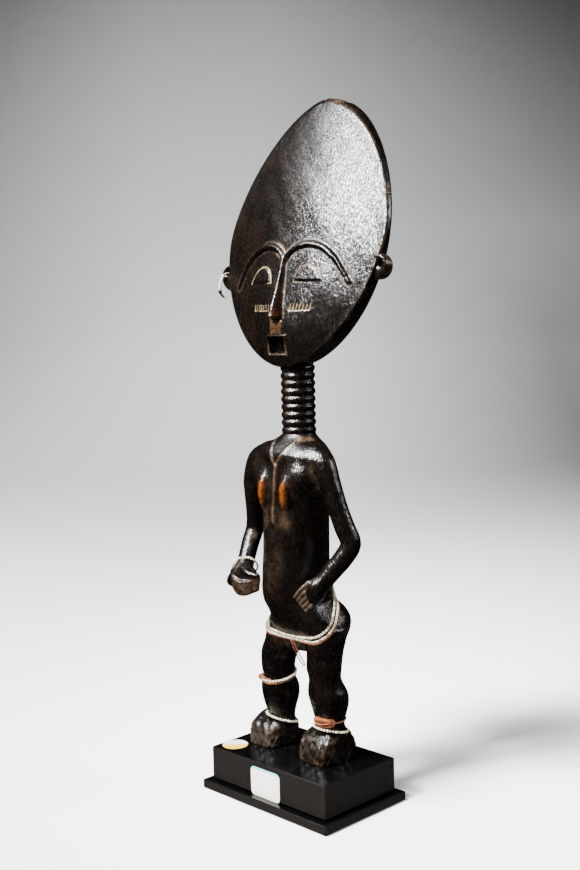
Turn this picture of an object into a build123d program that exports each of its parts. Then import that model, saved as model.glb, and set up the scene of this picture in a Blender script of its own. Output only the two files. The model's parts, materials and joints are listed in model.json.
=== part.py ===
from build123d import *
import os
from math import cos, pi, radians, sin, tan

os.makedirs("parts", exist_ok=True)

# A carved wooden doll figure with a tall disc-shaped head, strung with beads, pinned to
# a two-step display base. Millimetres. X is the figure's left, -Y the way it faces, Z up.
# The origin is the centre of the base's underside.

# ---------------------------------------------------------------- display base
block_width = 100.0
block_depth = 62.3
block_height = 20.5
spacer_thickness = 1.3
spacer_inset = 3.0
plinth_thickness = 5.4
plinth_overhang = 4.7
felt_thickness = 0.6
felt_inset = 4.0
edge_break = 0.5

screw_radius = 1.5
screw_head_radius = 2.9
screw_head_height = 2.0
screw_bite = 11.0
screw_edge_distance = 12.0
fit_clearance = 0.05
recess_clearance = 0.3

plinth_width = block_width + 2 * plinth_overhang
plinth_depth = block_depth + 2 * plinth_overhang
plinth_z = felt_thickness
spacer_z = plinth_z + plinth_thickness
block_z = spacer_z + spacer_thickness
sole_z = block_z + block_height

# ---------------------------------------------------------------- mounting pins
pin_radius = 1.5
pin_seat = 12.0
pin_reach = 12.0
pin_clearance = 0.3
pin_tip_clearance = 1.0

# ---------------------------------------------------------------- labels on the base
label_width = 25.4
label_height = 18.2
label_thickness = 0.2
label_corner = 3.0
label_offset = -1.0
label_lift = 0.2
sticker_radius = 8.2
sticker_thickness = 0.15
sticker_front_gap = 3.2
sticker_side_gap = 0.5

# ---------------------------------------------------------------- feet: x, y, half width, half length, height
right_foot = (-27.0, 3.2, 13.5, 15.3, 12.0)
left_foot = (18.4, 4.4, 14.5, 17.0, 13.5)
pin_right = (-22.5, 3.5)
pin_left = (20.5, 4.5)

# ---------------------------------------------------------------- leg sections: x, y, height above the soles, radius
right_ankle = (-21.7, 4.5, 17.5, 8.3)
right_calf = (-21.3, 3.6, 38.0, 12.2)
right_knee = (-20.8, 2.2, 46.5, 10.2)
right_thigh = (-20.2, 3.0, 60.0, 12.0)
left_ankle = (21.7, 4.5, 20.0, 8.8)
left_calf = (21.3, 4.0, 40.0, 12.4)
left_knee = (20.4, 2.4, 50.8, 10.2)
left_thigh = (19.6, 3.0, 62.0, 11.5)
ankle_depth = 10.0
leg_top_x = 16.0
leg_top_y = 4.5
leg_top_height = 78.0
leg_top_radius = 12.8

# ---------------------------------------------------------------- torso: height, y centre, half width, half depth
crotch = (70.5, 5.5, 16.0, 11.0)
groin = (76.5, 8.0, 27.0, 17.0)
hip = (82.0, 8.0, 28.5, 19.5)
seat = (88.0, 6.5, 26.5, 20.8)
waist = (94.5, 3.0, 22.5, 20.5)
belly = (105.0, 0.8, 21.3, 21.0)
trunk = (128.0, 0.0, 20.7, 19.8)
ribs = (154.0, 0.0, 20.9, 19.0)
chest = (171.0, -0.3, 26.5, 17.0)
shoulder = (184.0, -0.5, 30.5, 16.0)
collar = (193.0, 1.5, 23.5, 14.8)
nape = (199.5, 3.6, 13.5, 12.0)

# ---------------------------------------------------------------- neck
neck_base = 202.0
neck_length = 43.0
neck_y = 4.7
neck_radius = 10.8
neck_groove = 1.3
neck_rings = 9
neck_root = 5.0

# ---------------------------------------------------------------- head: an egg-shaped disc that leans back
chin_drop = 1.5
head_length = 164.0
head_half_width = 67.0
widest_share = 0.488
chin_pointing = 1.77
crown_pointing = 1.65
rim_start_y = -9.3
rim_slope = 0.271
dome_depth = 12.0
rim_thickness = 5.0
chin_thickness = 12.0
crown_thickness = 7.0
back_bulge = 4.0

ear_x = 63.0
ear_height = 56.0
ear_radius = 8.4
ear_thickness = 7.0
ear_hole_offset = (3.0, 4.0)
ear_hole_radius = 2.0

brow_radius = 1.5
lid_radius = 0.6
nose_half_width = 5.3
nose_projection = 6.8
mouth_rise = 13.4
mouth_width = 14.0
mouth_height = 9.8
mouth_depth = 4.5
lip_width = 1.4
lip_projection = 1.2

# ---------------------------------------------------------------- strings and beads
bead_radius = 0.9
thread_radius = 0.4
strand_gap = 0.3
strand_pitch = 2 * bead_radius + strand_gap
seat_gap = 0.05
band_steps = 24
outline_steps = 180

waist_string_origin = (0.0, 6.0, 92.3)
waist_string_rise = 0.95
knee_string_rise = 0.23
knot_radius = 2.3
ankle_wrap_rise = 5.5
ankle_wrap_size = (9.0, 5.0, 2.2)
knot_turn = -135.0
wrap_turn = -45.0

right_ankle_ring = (-21.7, 4.5, 16.9, 10.3)
right_ankle_ring_axis = (0.121, 0.267, 0.955)
left_ankle_ring = (21.7, 4.5, 19.6, 10.8)
left_ankle_ring_axis = (0.043, 0.189, 0.98)
wrist_ring = (-32.9, -14.0, 117.0, 8.0)
wrist_ring_axis = (0.606, -0.593, -0.53)

ear_thread_points = [
    (-1.0, 0.9, -0.4), (-0.9, -5.0, -0.4), (-2.6, -6.2, -5.2), (-5.2, -5.6, -10.0), (-7.2, -3.0, -14.4),
    (-5.6, 0.8, -17.4), (-1.8, 3.8, -18.6), (2.4, 6.0, -16.4), (4.2, 7.2, -11.2), (3.2, 7.2, -5.4),
    (1.0, 6.0, -0.8), (0.8, 1.6, 0.6),
]
ear_bead_radius = 0.8
ear_bead_bore = 0.46
ear_bead_length = 1.35
ear_bead_gap = 0.25
ear_bead_start = 7.0
white_bead_count = 7
black_bead_radius = 1.15
dark_bead_length = 1.5
dark_bead_gap = 0.5
dark_bead_count = 2

waist_string_edge = waist_string_origin[2] - strand_pitch / 2 - bead_radius
# x, y, height from the lower edge of the waist string
loin_cord_points = [
    (3.9, -10.4, -15.35), (3.7, -8.9, -19.35), (3.8, -6.2, -24.35), (3.5, -3.6, -28.95), (4.0, -1.9, -32.15),
    (5.4, -1.3, -33.55), (6.8, -2.0, -32.05), (7.1, -3.8, -29.15), (6.6, -6.2, -24.55), (6.0, -8.6, -19.55),
    (5.7, -10.2, -15.55),
]


def head_share(z):
    """How far z is from the head's widest level, -1 at the chin and 1 at the crown."""
    if z >= widest_z:
        return (z - widest_z) / (crown_z - widest_z)
    return (z - widest_z) / (widest_z - chin_z)


def head_width(z):
    """Half width of the egg outline at height z."""
    share = head_share(z)
    power = crown_pointing if share > 0 else chin_pointing
    return head_half_width * max(0.0, 1 - abs(share) ** power) ** (1 / power)


def rim_y(z):
    """The front rim of the disc, which leans back as it rises."""
    return rim_start_y + rim_slope * (z - chin_z)


def face_y(x, z):
    """The domed front face."""
    share = head_share(z)
    power = 2.2 if share > 0 else 5.0
    dome = dome_depth * (1 - abs(share) ** power)
    across = min(1.0, abs(x) / max(head_width(z), 0.001))
    return rim_y(z) - dome * (1 - across ** 2) ** 1.5


def back_y(x, z):
    """The back of the disc, thin at the widest level and thick at the chin and crown."""
    share = head_share(z)
    thickness = rim_thickness + (crown_thickness * share ** 2 if share > 0 else -chin_thickness * share)
    across = min(1.0, abs(x) / max(head_width(z), 0.001))
    return rim_y(z) + thickness + back_bulge * (1 - across ** 2) * (1 - abs(share) ** 3)


def oval(height, x, y, half_width, half_depth, squareness=2.0):
    """A level section: an ellipse, or a squarer superellipse, on a plane above the soles."""
    steps = 16
    points = []
    for step in range(steps):
        turn = 2 * pi * step / steps
        reach_x = abs(cos(turn)) ** (2 / squareness) * (1 if cos(turn) >= 0 else -1)
        reach_y = abs(sin(turn)) ** (2 / squareness) * (1 if sin(turn) >= 0 else -1)
        points.append((x + half_width * reach_x, y + half_depth * reach_y))
    with BuildSketch(Plane.XY.offset(sole_z + height)) as section:
        with BuildLine():
            Spline(*points, periodic=True)
        make_face()
    return section.sketch


def limb_section(points, index):
    """A round section of a limb, square to the limb's run through points of (x, y, height, radius)."""
    before = Vector(*points[max(index - 1, 0)][:3])
    after = Vector(*points[min(index + 1, len(points) - 1)][:3])
    x, y, height, radius = points[index]
    run = after - before
    sideways = run.cross(Vector(1, 0, 0))
    with BuildSketch(Plane(origin=(x, y, sole_z + height), x_dir=sideways, z_dir=run)) as section:
        Circle(radius)
    return section.sketch


def surface_ridge(points, radius):
    """A round ridge carved along points (x, z) of the face."""
    path = Edge.make_spline([Vector(x, face_y(x, z), z) for x, z in points])
    with BuildPart() as ridge:
        with BuildSketch(Plane(origin=path @ 0, z_dir=path % 0)):
            Circle(radius)
        sweep(path=path)
        for end in (path @ 0, path @ 1):
            with Locations(end):
                Sphere(radius)
    return ridge.part


neck_top = neck_base + neck_length
chin_z = sole_z + neck_top - chin_drop
crown_z = chin_z + head_length
widest_z = chin_z + widest_share * head_length
ear_z = chin_z + ear_height
ear_hole_x = ear_x + ear_hole_offset[0]
ear_hole_z = ear_z + ear_hole_offset[1]

# ================================================================ display base
with BuildPart() as base_felt:
    Box(plinth_width - 2 * felt_inset, plinth_depth - 2 * felt_inset, felt_thickness,
        align=(Align.CENTER, Align.CENTER, Align.MIN))
base_felt.part.label = "base_felt"
export_step(base_felt.part, "parts/base_felt.step")

screw_spots = GridLocations(block_width - 2 * screw_edge_distance,
                            block_depth - 2 * screw_edge_distance, 2, 2)

with BuildPart() as base_plinth:
    with BuildSketch(Plane.XY.offset(plinth_z)):
        Rectangle(plinth_width, plinth_depth)
    extrude(amount=plinth_thickness)
    chamfer(base_plinth.edges().group_by(Axis.Z)[-1], edge_break)
    with BuildSketch(Plane.XY.offset(plinth_z)):
        with screw_spots:
            Circle(screw_head_radius + recess_clearance)
    extrude(amount=screw_head_height + recess_clearance, mode=Mode.SUBTRACT)
    with BuildSketch(Plane.XY.offset(plinth_z)):
        with screw_spots:
            Circle(screw_radius + recess_clearance)
    extrude(amount=plinth_thickness, mode=Mode.SUBTRACT)
base_plinth.part.label = "base_plinth"
export_step(base_plinth.part, "parts/base_plinth.step")

with BuildPart() as base_spacer:
    with BuildSketch(Plane.XY.offset(spacer_z)):
        Rectangle(block_width - 2 * spacer_inset, block_depth - 2 * spacer_inset)
        with screw_spots:
            Circle(screw_radius + recess_clearance, mode=Mode.SUBTRACT)
    extrude(amount=spacer_thickness)
base_spacer.part.label = "base_spacer"
export_step(base_spacer.part, "parts/base_spacer.step")

pin_spots = Locations(pin_right, pin_left)

with BuildPart() as base_block:
    with BuildSketch(Plane.XY.offset(block_z)):
        Rectangle(block_width, block_depth)
    extrude(amount=block_height)
    chamfer(base_block.edges().group_by(Axis.Z)[-1], edge_break)
    with BuildSketch(Plane.XY.offset(block_z)):
        with screw_spots:
            Circle(screw_radius + fit_clearance)
    extrude(amount=screw_bite + recess_clearance, mode=Mode.SUBTRACT)
    with BuildSketch(Plane.XY.offset(sole_z)):
        with pin_spots:
            Circle(pin_radius + fit_clearance)
    extrude(amount=-pin_seat, mode=Mode.SUBTRACT)
base_block.part.label = "base_block"
export_step(base_block.part, "parts/base_block.step")

with BuildPart() as base_screws:
    head_z = plinth_z + recess_clearance
    with BuildSketch(Plane.XY.offset(head_z)):
        with screw_spots:
            Circle(screw_head_radius)
    extrude(amount=screw_head_height)
    with BuildSketch(Plane.XY.offset(head_z)):
        with screw_spots:
            Circle(screw_radius)
    extrude(amount=block_z + screw_bite - head_z)
base_screws.part.label = "base_screws"
export_step(base_screws.part, "parts/base_screws.step")

for pin_name, pin_spot in (("mount_pin_right", pin_right), ("mount_pin_left", pin_left)):
    with BuildPart() as mount_pin:
        with BuildSketch(Plane.XY.offset(sole_z - pin_seat)):
            with Locations(pin_spot):
                Circle(pin_radius)
        extrude(amount=pin_seat + pin_reach)
        chamfer(mount_pin.edges().group_by(Axis.Z)[-1], edge_break)
    mount_pin.part.label = pin_name
    export_step(mount_pin.part, "parts/" + pin_name + ".step")

with BuildPart() as lot_label:
    face_plane = Plane.XZ.offset(block_depth / 2)
    with BuildSketch(face_plane):
        with Locations((label_offset, spacer_z + label_lift + label_height / 2)):
            RectangleRounded(label_width, label_height, label_corner)
    extrude(amount=label_thickness)
lot_label.part.label = "lot_label"
export_step(lot_label.part, "parts/lot_label.step")

with BuildPart() as round_sticker:
    sticker_x = sticker_radius + sticker_side_gap + edge_break - block_width / 2
    sticker_y = sticker_radius + sticker_front_gap - block_depth / 2
    with BuildSketch(Plane.XY.offset(sole_z)):
        with Locations((sticker_x, sticker_y)):
            Circle(sticker_radius)
    extrude(amount=sticker_thickness)
round_sticker.part.label = "round_sticker"
export_step(round_sticker.part, "parts/round_sticker.step")

# ================================================================ carved figure


def leg_run(ankle, calf, knee, thigh, side):
    """Level sections of one leg as (height, x, y, radius), from inside the foot up into the hip."""
    shin_height = (ankle[2] + calf[2]) / 2
    upper_height = (thigh[2] + leg_top_height) / 2
    return [
        (ankle[2] - ankle_depth, ankle[0], ankle[1], ankle[3]),
        (ankle[2] - ankle_depth / 2, ankle[0], ankle[1], ankle[3]),
        (ankle[2], ankle[0], ankle[1], ankle[3]),
        (shin_height, (ankle[0] + calf[0]) / 2, (ankle[1] + calf[1]) / 2, 0.47 * ankle[3] + 0.53 * calf[3]),
        (calf[2], calf[0], calf[1], calf[3]),
        (knee[2], knee[0], knee[1], knee[3]),
        (thigh[2], thigh[0], thigh[1], thigh[3]),
        (upper_height, (thigh[0] + side * leg_top_x) / 2, (thigh[1] + leg_top_y) / 2,
         (thigh[3] + leg_top_radius) / 2),
        (leg_top_height, side * leg_top_x, leg_top_y, leg_top_radius),
    ]


def foot_run(foot):
    """Level sections of one foot as (height, y shift, half width, half length)."""
    x, y, half_width, half_length, height = foot
    return [
        (0.0, 0.0, half_width - 0.7, half_length - 1.0),
        (height * 0.45, 0.0, half_width, half_length),
        (height * 0.78, -0.5, half_width - 1.6, half_length - 2.2),
        (height, -2.5, half_width - 5.0, half_length - 6.6),
    ]


torso_run = [crotch, groin, hip, seat, waist, belly, trunk, ribs, chest, shoulder, collar, nape]
left_arm = [
    (22.0, -1.0, 188.0, 8.5), (30.5, -1.6, 182.0, 8.0), (35.8, -1.8, 171.0, 7.0),
    (38.2, -1.0, 157.0, 6.3), (42.0, 0.2, 146.5, 6.2), (45.6, 0.0, 138.5, 6.2),
    (42.5, -3.5, 130.0, 6.0), (37.5, -7.0, 122.5, 5.7), (31.5, -10.5, 114.5, 5.6),
    (24.0, -13.6, 107.0, 5.6), (17.0, -15.2, 101.0, 4.0),
]
right_arm = [
    (-22.0, -1.0, 188.0, 8.5), (-30.5, -1.6, 182.0, 8.0), (-35.2, -2.0, 171.0, 7.0),
    (-35.6, -1.6, 157.0, 6.0), (-37.8, 0.0, 144.0, 5.7), (-38.6, -1.5, 135.5, 5.8),
    (-36.5, -7.0, 127.5, 5.6), (-33.5, -12.0, 120.0, 5.6), (-29.5, -17.0, 112.0, 6.0),
    (-23.5, -19.5, 108.0, 5.6), (-16.5, -18.5, 106.0, 4.4),
]
with BuildPart() as torso:
    sections = [oval(height, 0, y, half_width, half_depth)
                for height, y, half_width, half_depth in torso_run]
    loft(sections=sections)

with BuildPart() as limbs:
    for run in (leg_run(right_ankle, right_calf, right_knee, right_thigh, -1),
                leg_run(left_ankle, left_calf, left_knee, left_thigh, 1)):
        loft(sections=[oval(height, x, y, radius, radius) for height, x, y, radius in run])
    for foot in (right_foot, left_foot):
        loft(sections=[oval(height, foot[0], foot[1] + shift, half_width, half_length, 3.0)
                       for height, shift, half_width, half_length in foot_run(foot)])
    for arm in (left_arm, right_arm):
        loft(sections=[limb_section(arm, index) for index in range(len(arm))])

with BuildPart() as neck:
    ring_pitch = neck_length / neck_rings
    with BuildSketch(Plane.XZ):
        with BuildLine():
            Line((0, sole_z + neck_base - neck_root), (neck_radius - neck_groove, sole_z + neck_base - neck_root))
            Line((neck_radius - neck_groove, sole_z + neck_base - neck_root),
                 (neck_radius - neck_groove, sole_z + neck_base))
            for ring in range(neck_rings):
                low = sole_z + neck_base + ring * ring_pitch
                ThreePointArc((neck_radius - neck_groove, low), (neck_radius, low + ring_pitch / 2),
                              (neck_radius - neck_groove, low + ring_pitch))
            Line((neck_radius - neck_groove, sole_z + neck_top),
                 (neck_radius / 2, sole_z + neck_top + neck_root))
            Line((neck_radius / 2, sole_z + neck_top + neck_root), (0, sole_z + neck_top + neck_root))
            Line((0, sole_z + neck_top + neck_root), (0, sole_z + neck_base - neck_root))
        make_face()
    revolve(axis=Axis.Z)
neck_part = neck.part.moved(Location((0, neck_y, 0)))

with BuildPart() as head:
    level_shares = (-0.985, -0.93, -0.82, -0.65, -0.42, -0.15, 0.15, 0.42, 0.65, 0.82, 0.93, 0.985)
    sections = []
    for share in level_shares:
        z = widest_z + share * (crown_z - widest_z if share > 0 else widest_z - chin_z)
        half = head_width(z)
        with BuildSketch(Plane.XY.offset(z)) as level:
            with BuildLine():
                Spline(*[(half * step / 4, face_y(half * step / 4, z)) for step in range(-4, 5)])
                Line((half, rim_y(z)), (half, back_y(half, z)))
                Spline(*[(half * step / 2, back_y(half * step / 2, z)) for step in range(2, -3, -1)])
                Line((-half, back_y(half, z)), (-half, rim_y(z)))
            make_face()
        sections.append(level.sketch)
    loft(sections=sections)

brow_line = [(2.0, 66.5), (9.0, 73.0), (18.0, 75.0), (30.0, 71.0), (40.0, 61.5), (46.5, 50.5)]
lid_line = [(9.5, 49.5), (11.5, 56.0), (18.0, 61.0), (25.5, 57.5), (29.0, 49.5)]
nose_run = [(67.0, 0.3, 0.5), (55.0, 0.5, 0.62), (42.0, 0.75, 0.85), (33.0, 1.0, 1.0), (30.0, 0.9, 0.8)]
mouth_z = chin_z + mouth_rise

with BuildPart() as features:
    for side in (-1, 1):
        add(surface_ridge([(side * x, chin_z + up) for x, up in brow_line], brow_radius))
        add(surface_ridge([(side * x, chin_z + up) for x, up in lid_line], lid_radius))
        with BuildSketch(Plane.XZ.offset(-back_y(ear_x, ear_z))):
            with Locations((side * ear_x, ear_z)):
                Circle(ear_radius)
        extrude(amount=ear_thickness)
    nose_sections = []
    for up, spread, projection in nose_run:
        z = chin_z + up
        depth = nose_projection * projection
        nose_sections.append(oval(z - sole_z, 0, face_y(0, z) + 1.0 - depth / 2,
                                  nose_half_width * spread, depth / 2 + 1.0))
    loft(sections=nose_sections)
    lip_y = face_y(0, mouth_z) - lip_projection
    with BuildSketch(Plane.XZ.offset(-lip_y)):
        with Locations((0, mouth_z)):
            RectangleRounded(mouth_width + 2 * lip_width, mouth_height + 2 * lip_width, 1.5)
    extrude(amount=-(lip_projection + 4.0))

with BuildPart() as carved_figure:
    add(torso.part)
    add(limbs.part)
    add(neck_part)
    add(head.part)
    add(features.part)
    with BuildSketch(Plane.XZ.offset(-lip_y)):
        with Locations((0, mouth_z)):
            RectangleRounded(mouth_width, mouth_height, 1.0)
    extrude(amount=-mouth_depth, mode=Mode.SUBTRACT)
    with BuildSketch(Plane.XZ.offset(-back_y(ear_x, ear_z) - 1.0)):
        with Locations((ear_hole_x, ear_hole_z), (-ear_hole_x, ear_hole_z)):
            Circle(ear_hole_radius)
    extrude(amount=ear_thickness + 8.0, both=True, mode=Mode.SUBTRACT)
    with BuildSketch(Plane.XY.offset(sole_z)):
        with pin_spots:
            Circle(pin_radius + pin_clearance)
    extrude(amount=pin_reach + pin_tip_clearance, mode=Mode.SUBTRACT)
carved_figure.part.label = "carved_figure"
export_step(carved_figure.part, "parts/carved_figure.step")


# ================================================================ strings tied tight round the figure
def taut_loop(spots, distance):
    """Points of a loop pulled tight round the spots, each stood off outwards by a distance."""
    loop = []
    for step in range(band_steps):
        turn = 2 * pi * step / band_steps
        outward = Vector(cos(turn), sin(turn), 0)
        farthest = max(spots, key=lambda spot: spot.dot(outward))
        point = farthest + outward * distance
        if not loop or (point - loop[-1]).length > bead_radius:
            loop.append(Vector(point.X, point.Y, 0))
    if (loop[-1] - loop[0]).length < bead_radius:
        loop.pop()
    return loop


def string_band(plane, radius, nearest):
    """A closed band that follows the figure's own outline where the plane cuts it."""
    cut = section(carved_figure.part, section_by=plane)
    outline = sorted(cut.faces(), key=lambda face: (face.center() - Vector(*nearest)).length)[0]
    wire = outline.outer_wire()
    spots = [plane.to_local_coords(wire @ (step / outline_steps)) for step in range(outline_steps)]
    with BuildPart() as band:
        with BuildSketch(plane):
            for distance, mode in ((seat_gap + 2 * radius, Mode.ADD), (seat_gap, Mode.SUBTRACT)):
                with BuildLine():
                    Spline(*taut_loop(spots, distance), periodic=True)
                make_face(mode=mode)
        extrude(amount=radius, both=True)
    return band.part


def tilted_plane(x, y, height, rise, shift=0.0):
    """A plane through a point above the soles that climbs towards the back."""
    flat = Plane(origin=(x, y, sole_z + height), x_dir=(1, 0, 0), z_dir=(0, -rise, 1))
    return flat.offset(shift)


waist_x, waist_y, waist_height = waist_string_origin
for band_name, shift, radius in (("waist_beads_upper", strand_pitch / 2, bead_radius),
                                 ("waist_beads_lower", -strand_pitch / 2, bead_radius),
                                 ("waist_thread", -strand_pitch / 2 - bead_radius - thread_radius, thread_radius)):
    plane = tilted_plane(waist_x, waist_y, waist_height, waist_string_rise, shift)
    band = string_band(plane, radius, plane.origin)
    band.label = band_name
    export_step(band, "parts/" + band_name + ".step")

knee_x, knee_y, knee_height, knee_size = right_knee
knee_plane = tilted_plane(knee_x, knee_y, knee_height, knee_string_rise)
knee_beads_right = string_band(knee_plane, bead_radius, knee_plane.origin)
knee_beads_right.label = "knee_beads_right"
export_step(knee_beads_right, "parts/knee_beads_right.step")

with BuildPart() as knee_thread_right:
    thread_plane = knee_plane.offset(-bead_radius - thread_radius)
    add(string_band(thread_plane, thread_radius, thread_plane.origin))
    knot_reach = knee_size + knot_radius / 2
    knot_x = knee_x + knot_reach * cos(radians(knot_turn))
    knot_y = knee_y + knot_reach * sin(radians(knot_turn))
    with Locations((knot_x, knot_y, sole_z + knee_height - bead_radius - knot_radius)):
        Sphere(knot_radius)
knee_thread_right.part.label = "knee_thread_right"
export_step(knee_thread_right.part, "parts/knee_thread_right.step")

with BuildPart() as ankle_thread_left:
    ankle_x, ankle_y, ankle_height, ankle_size = left_ankle
    wrap_plane = tilted_plane(ankle_x, ankle_y, ankle_height + ankle_wrap_rise, 0.0)
    add(string_band(wrap_plane, thread_radius, wrap_plane.origin))
    wrap_reach = ankle_size + ankle_wrap_size[2] / 4
    wrap_out = Vector(cos(radians(wrap_turn)), sin(radians(wrap_turn)), 0)
    wrap_seat = Plane(origin=Vector(ankle_x, ankle_y, wrap_plane.origin.Z) + wrap_out * wrap_reach,
                      x_dir=(0, 0, 1), z_dir=wrap_out)
    with BuildSketch(wrap_seat):
        RectangleRounded(ankle_wrap_size[1], ankle_wrap_size[0], ankle_wrap_size[1] / 3)
    extrude(amount=ankle_wrap_size[2] / 2, both=True)
ankle_thread_left.part.label = "ankle_thread_left"
export_step(ankle_thread_left.part, "parts/ankle_thread_left.step")

# ================================================================ loose bead rings
for ring_name, ring, ring_axis in (("ankle_beads_right", right_ankle_ring, right_ankle_ring_axis),
                                   ("ankle_beads_left", left_ankle_ring, left_ankle_ring_axis),
                                   ("wrist_beads_right", wrist_ring, wrist_ring_axis)):
    x, y, height, radius = ring
    with BuildPart() as bead_ring:
        with Locations(Plane(origin=(x, y, sole_z + height), z_dir=ring_axis)):
            Torus(radius, bead_radius)
    bead_ring.part.label = ring_name
    export_step(bead_ring.part, "parts/" + ring_name + ".step")


# ================================================================ hanging threads
def thread_path(points):
    """Straight runs joined by tangent arcs, each arc as large as its two runs allow."""
    radii = []
    for before, corner, after in zip(points, points[1:], points[2:]):
        run_in = corner - before
        run_out = after - corner
        half_turn = radians(run_in.get_angle(run_out)) / 2
        radii.append(0.45 * min(run_in.length, run_out.length) / tan(half_turn))
    print("thread radii", [round(radius, 1) for radius in radii])
    return FilletPolyline(*points, radius=radii)


def thread_tube(points):
    with BuildPart() as tube:
        with BuildLine() as route:
            thread_path(points)
        start = route.wires()[0]
        with BuildSketch(Plane(origin=start @ 0, z_dir=start % 0)):
            Circle(thread_radius)
        sweep(path=start)
    length = start.length
    print("length", round(length, 2), "volume ratio", round(tube.part.volume / (length * pi * thread_radius ** 2), 4))
    return tube.part, start


hole_centre = Vector(-ear_hole_x, back_y(ear_x, ear_z) - ear_thickness / 2, ear_hole_z)
ear_thread, ear_route = thread_tube([hole_centre + Vector(*point) for point in ear_thread_points])
ear_thread.label = "ear_thread"
export_step(ear_thread, "parts/ear_thread.step")


def bored_bead(distance, length, radius):
    """One tube bead threaded on the ear thread, its middle at a distance along the route."""
    share = distance / ear_route.length
    with BuildPart() as bead:
        with Locations(Plane(origin=ear_route @ share, z_dir=ear_route % share)):
            Cylinder(radius, length)
            Cylinder(ear_bead_bore, length + 1, mode=Mode.SUBTRACT)
    return bead.part


bead_step = ear_bead_length + ear_bead_gap
with BuildPart() as ear_beads_white:
    for bead_number in range(white_bead_count):
        add(bored_bead(ear_bead_start + bead_number * bead_step, ear_bead_length, ear_bead_radius))
ear_beads_white.part.label = "ear_beads_white"
export_step(ear_beads_white.part, "parts/ear_beads_white.step")

black_start = ear_bead_start + (white_bead_count - 0.5) * bead_step
ear_bead_black = bored_bead(black_start + black_bead_radius, 2 * black_bead_radius - ear_bead_gap, black_bead_radius)
ear_bead_black.label = "ear_bead_black"
export_step(ear_bead_black, "parts/ear_bead_black.step")

dark_start = black_start + 2 * black_bead_radius + ear_bead_gap
with BuildPart() as ear_beads_dark:
    for bead_number in range(dark_bead_count):
        add(bored_bead(dark_start + (bead_number + 0.5) * (dark_bead_length + dark_bead_gap),
                       dark_bead_length, ear_bead_radius))
ear_beads_dark.part.label = "ear_beads_dark"
export_step(ear_beads_dark.part, "parts/ear_beads_dark.step")

loin_cord, loin_route = thread_tube([Vector(x, y, sole_z + waist_string_edge + height)
                                     for x, y, height in loin_cord_points])
loin_cord.label = "loin_cord"
export_step(loin_cord, "parts/loin_cord.step")
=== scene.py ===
"""A carved wooden doll with a tall disc head, strung with beads and pinned to a lacquered base.

Lengths are millimetres until a mesh is made, and heights on the figure are above its soles.
X is the figure's left, -Y the way it faces, Z up.
"""
import json
import math

import bpy
import numpy as np
from mathutils import Matrix, Vector


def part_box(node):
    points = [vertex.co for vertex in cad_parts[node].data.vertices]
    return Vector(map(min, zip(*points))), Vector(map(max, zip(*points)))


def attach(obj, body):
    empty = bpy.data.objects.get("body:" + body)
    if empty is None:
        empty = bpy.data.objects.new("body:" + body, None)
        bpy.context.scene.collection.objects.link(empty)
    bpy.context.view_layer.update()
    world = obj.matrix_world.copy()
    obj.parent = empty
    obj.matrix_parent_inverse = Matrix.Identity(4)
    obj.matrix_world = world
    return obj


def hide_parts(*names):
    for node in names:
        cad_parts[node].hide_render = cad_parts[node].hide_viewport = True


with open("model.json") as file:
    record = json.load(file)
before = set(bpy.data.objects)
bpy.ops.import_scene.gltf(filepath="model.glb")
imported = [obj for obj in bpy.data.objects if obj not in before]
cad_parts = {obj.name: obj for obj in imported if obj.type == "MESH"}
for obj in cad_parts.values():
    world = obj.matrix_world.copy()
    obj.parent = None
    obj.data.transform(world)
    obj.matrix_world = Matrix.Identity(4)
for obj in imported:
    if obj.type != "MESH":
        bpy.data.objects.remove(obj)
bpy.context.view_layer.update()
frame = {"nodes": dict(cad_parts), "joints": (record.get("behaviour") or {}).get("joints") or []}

MM = 0.001
PER_MM = 1000.0  # noise cells a metre when there is one a millimetre
TURN = 2 * math.pi
rng = np.random.default_rng(7)


def box_mm(node):
    """Lowest and highest corner of a CAD node in millimetres."""
    low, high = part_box(node)
    return np.array(low) / MM, np.array(high) / MM


SOLE = box_mm("base_block")[1][2]


# ---------------------------------------------------------------- camera
def place_camera():
    """A 50 mm lens aimed at a point on the figure's axis, then turned about its own line of sight."""
    azimuth, pitch, roll = math.radians(45.64), math.radians(5.95), math.radians(-1.44)
    distance, sideways, aim_height = 0.7439, -0.00235, 0.2293
    back = Vector((math.sin(azimuth) * math.cos(pitch), -math.cos(azimuth) * math.cos(pitch),
                   math.sin(pitch)))
    right = Vector((math.cos(azimuth), math.sin(azimuth), 0))
    turned = Matrix((right, back.cross(right), back)).transposed() @ Matrix.Rotation(roll, 3, "Z")
    camera = bpy.data.objects.new("camera", bpy.data.cameras.new("camera"))
    camera.data.lens = 50
    camera.data.sensor_width = 36
    camera.matrix_world = Matrix.Translation(
        Vector((0, 0, aim_height)) + right * sideways + back * distance) @ turned.to_4x4()
    bpy.context.scene.collection.objects.link(camera)
    bpy.context.scene.camera = camera


place_camera()


# ---------------------------------------------------------------- shader helpers
def colour(code):
    """sRGB hex to linear RGBA."""
    parts = [int(code[i:i + 2], 16) / 255 for i in (1, 3, 5)]
    return [p / 12.92 if p <= 0.04045 else ((p + 0.055) / 1.055) ** 2.4 for p in parts] + [1.0]


def node(tree, kind, sockets=(), **settings):
    """Adds one shader node, sets its settings, and fills or links its sockets."""
    made = tree.nodes.new("ShaderNode" + kind)
    for key, value in settings.items():
        setattr(made, key, value)
    for socket, value in dict(sockets).items():
        if isinstance(value, bpy.types.NodeSocket):
            tree.links.new(value, made.inputs[socket])
        else:
            made.inputs[socket].default_value = value
    return made


def new_material(name):
    """An empty node material and its tree."""
    material = bpy.data.materials.new(name)
    material.use_nodes = True
    material.node_tree.nodes.clear()
    return material, material.node_tree


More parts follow.
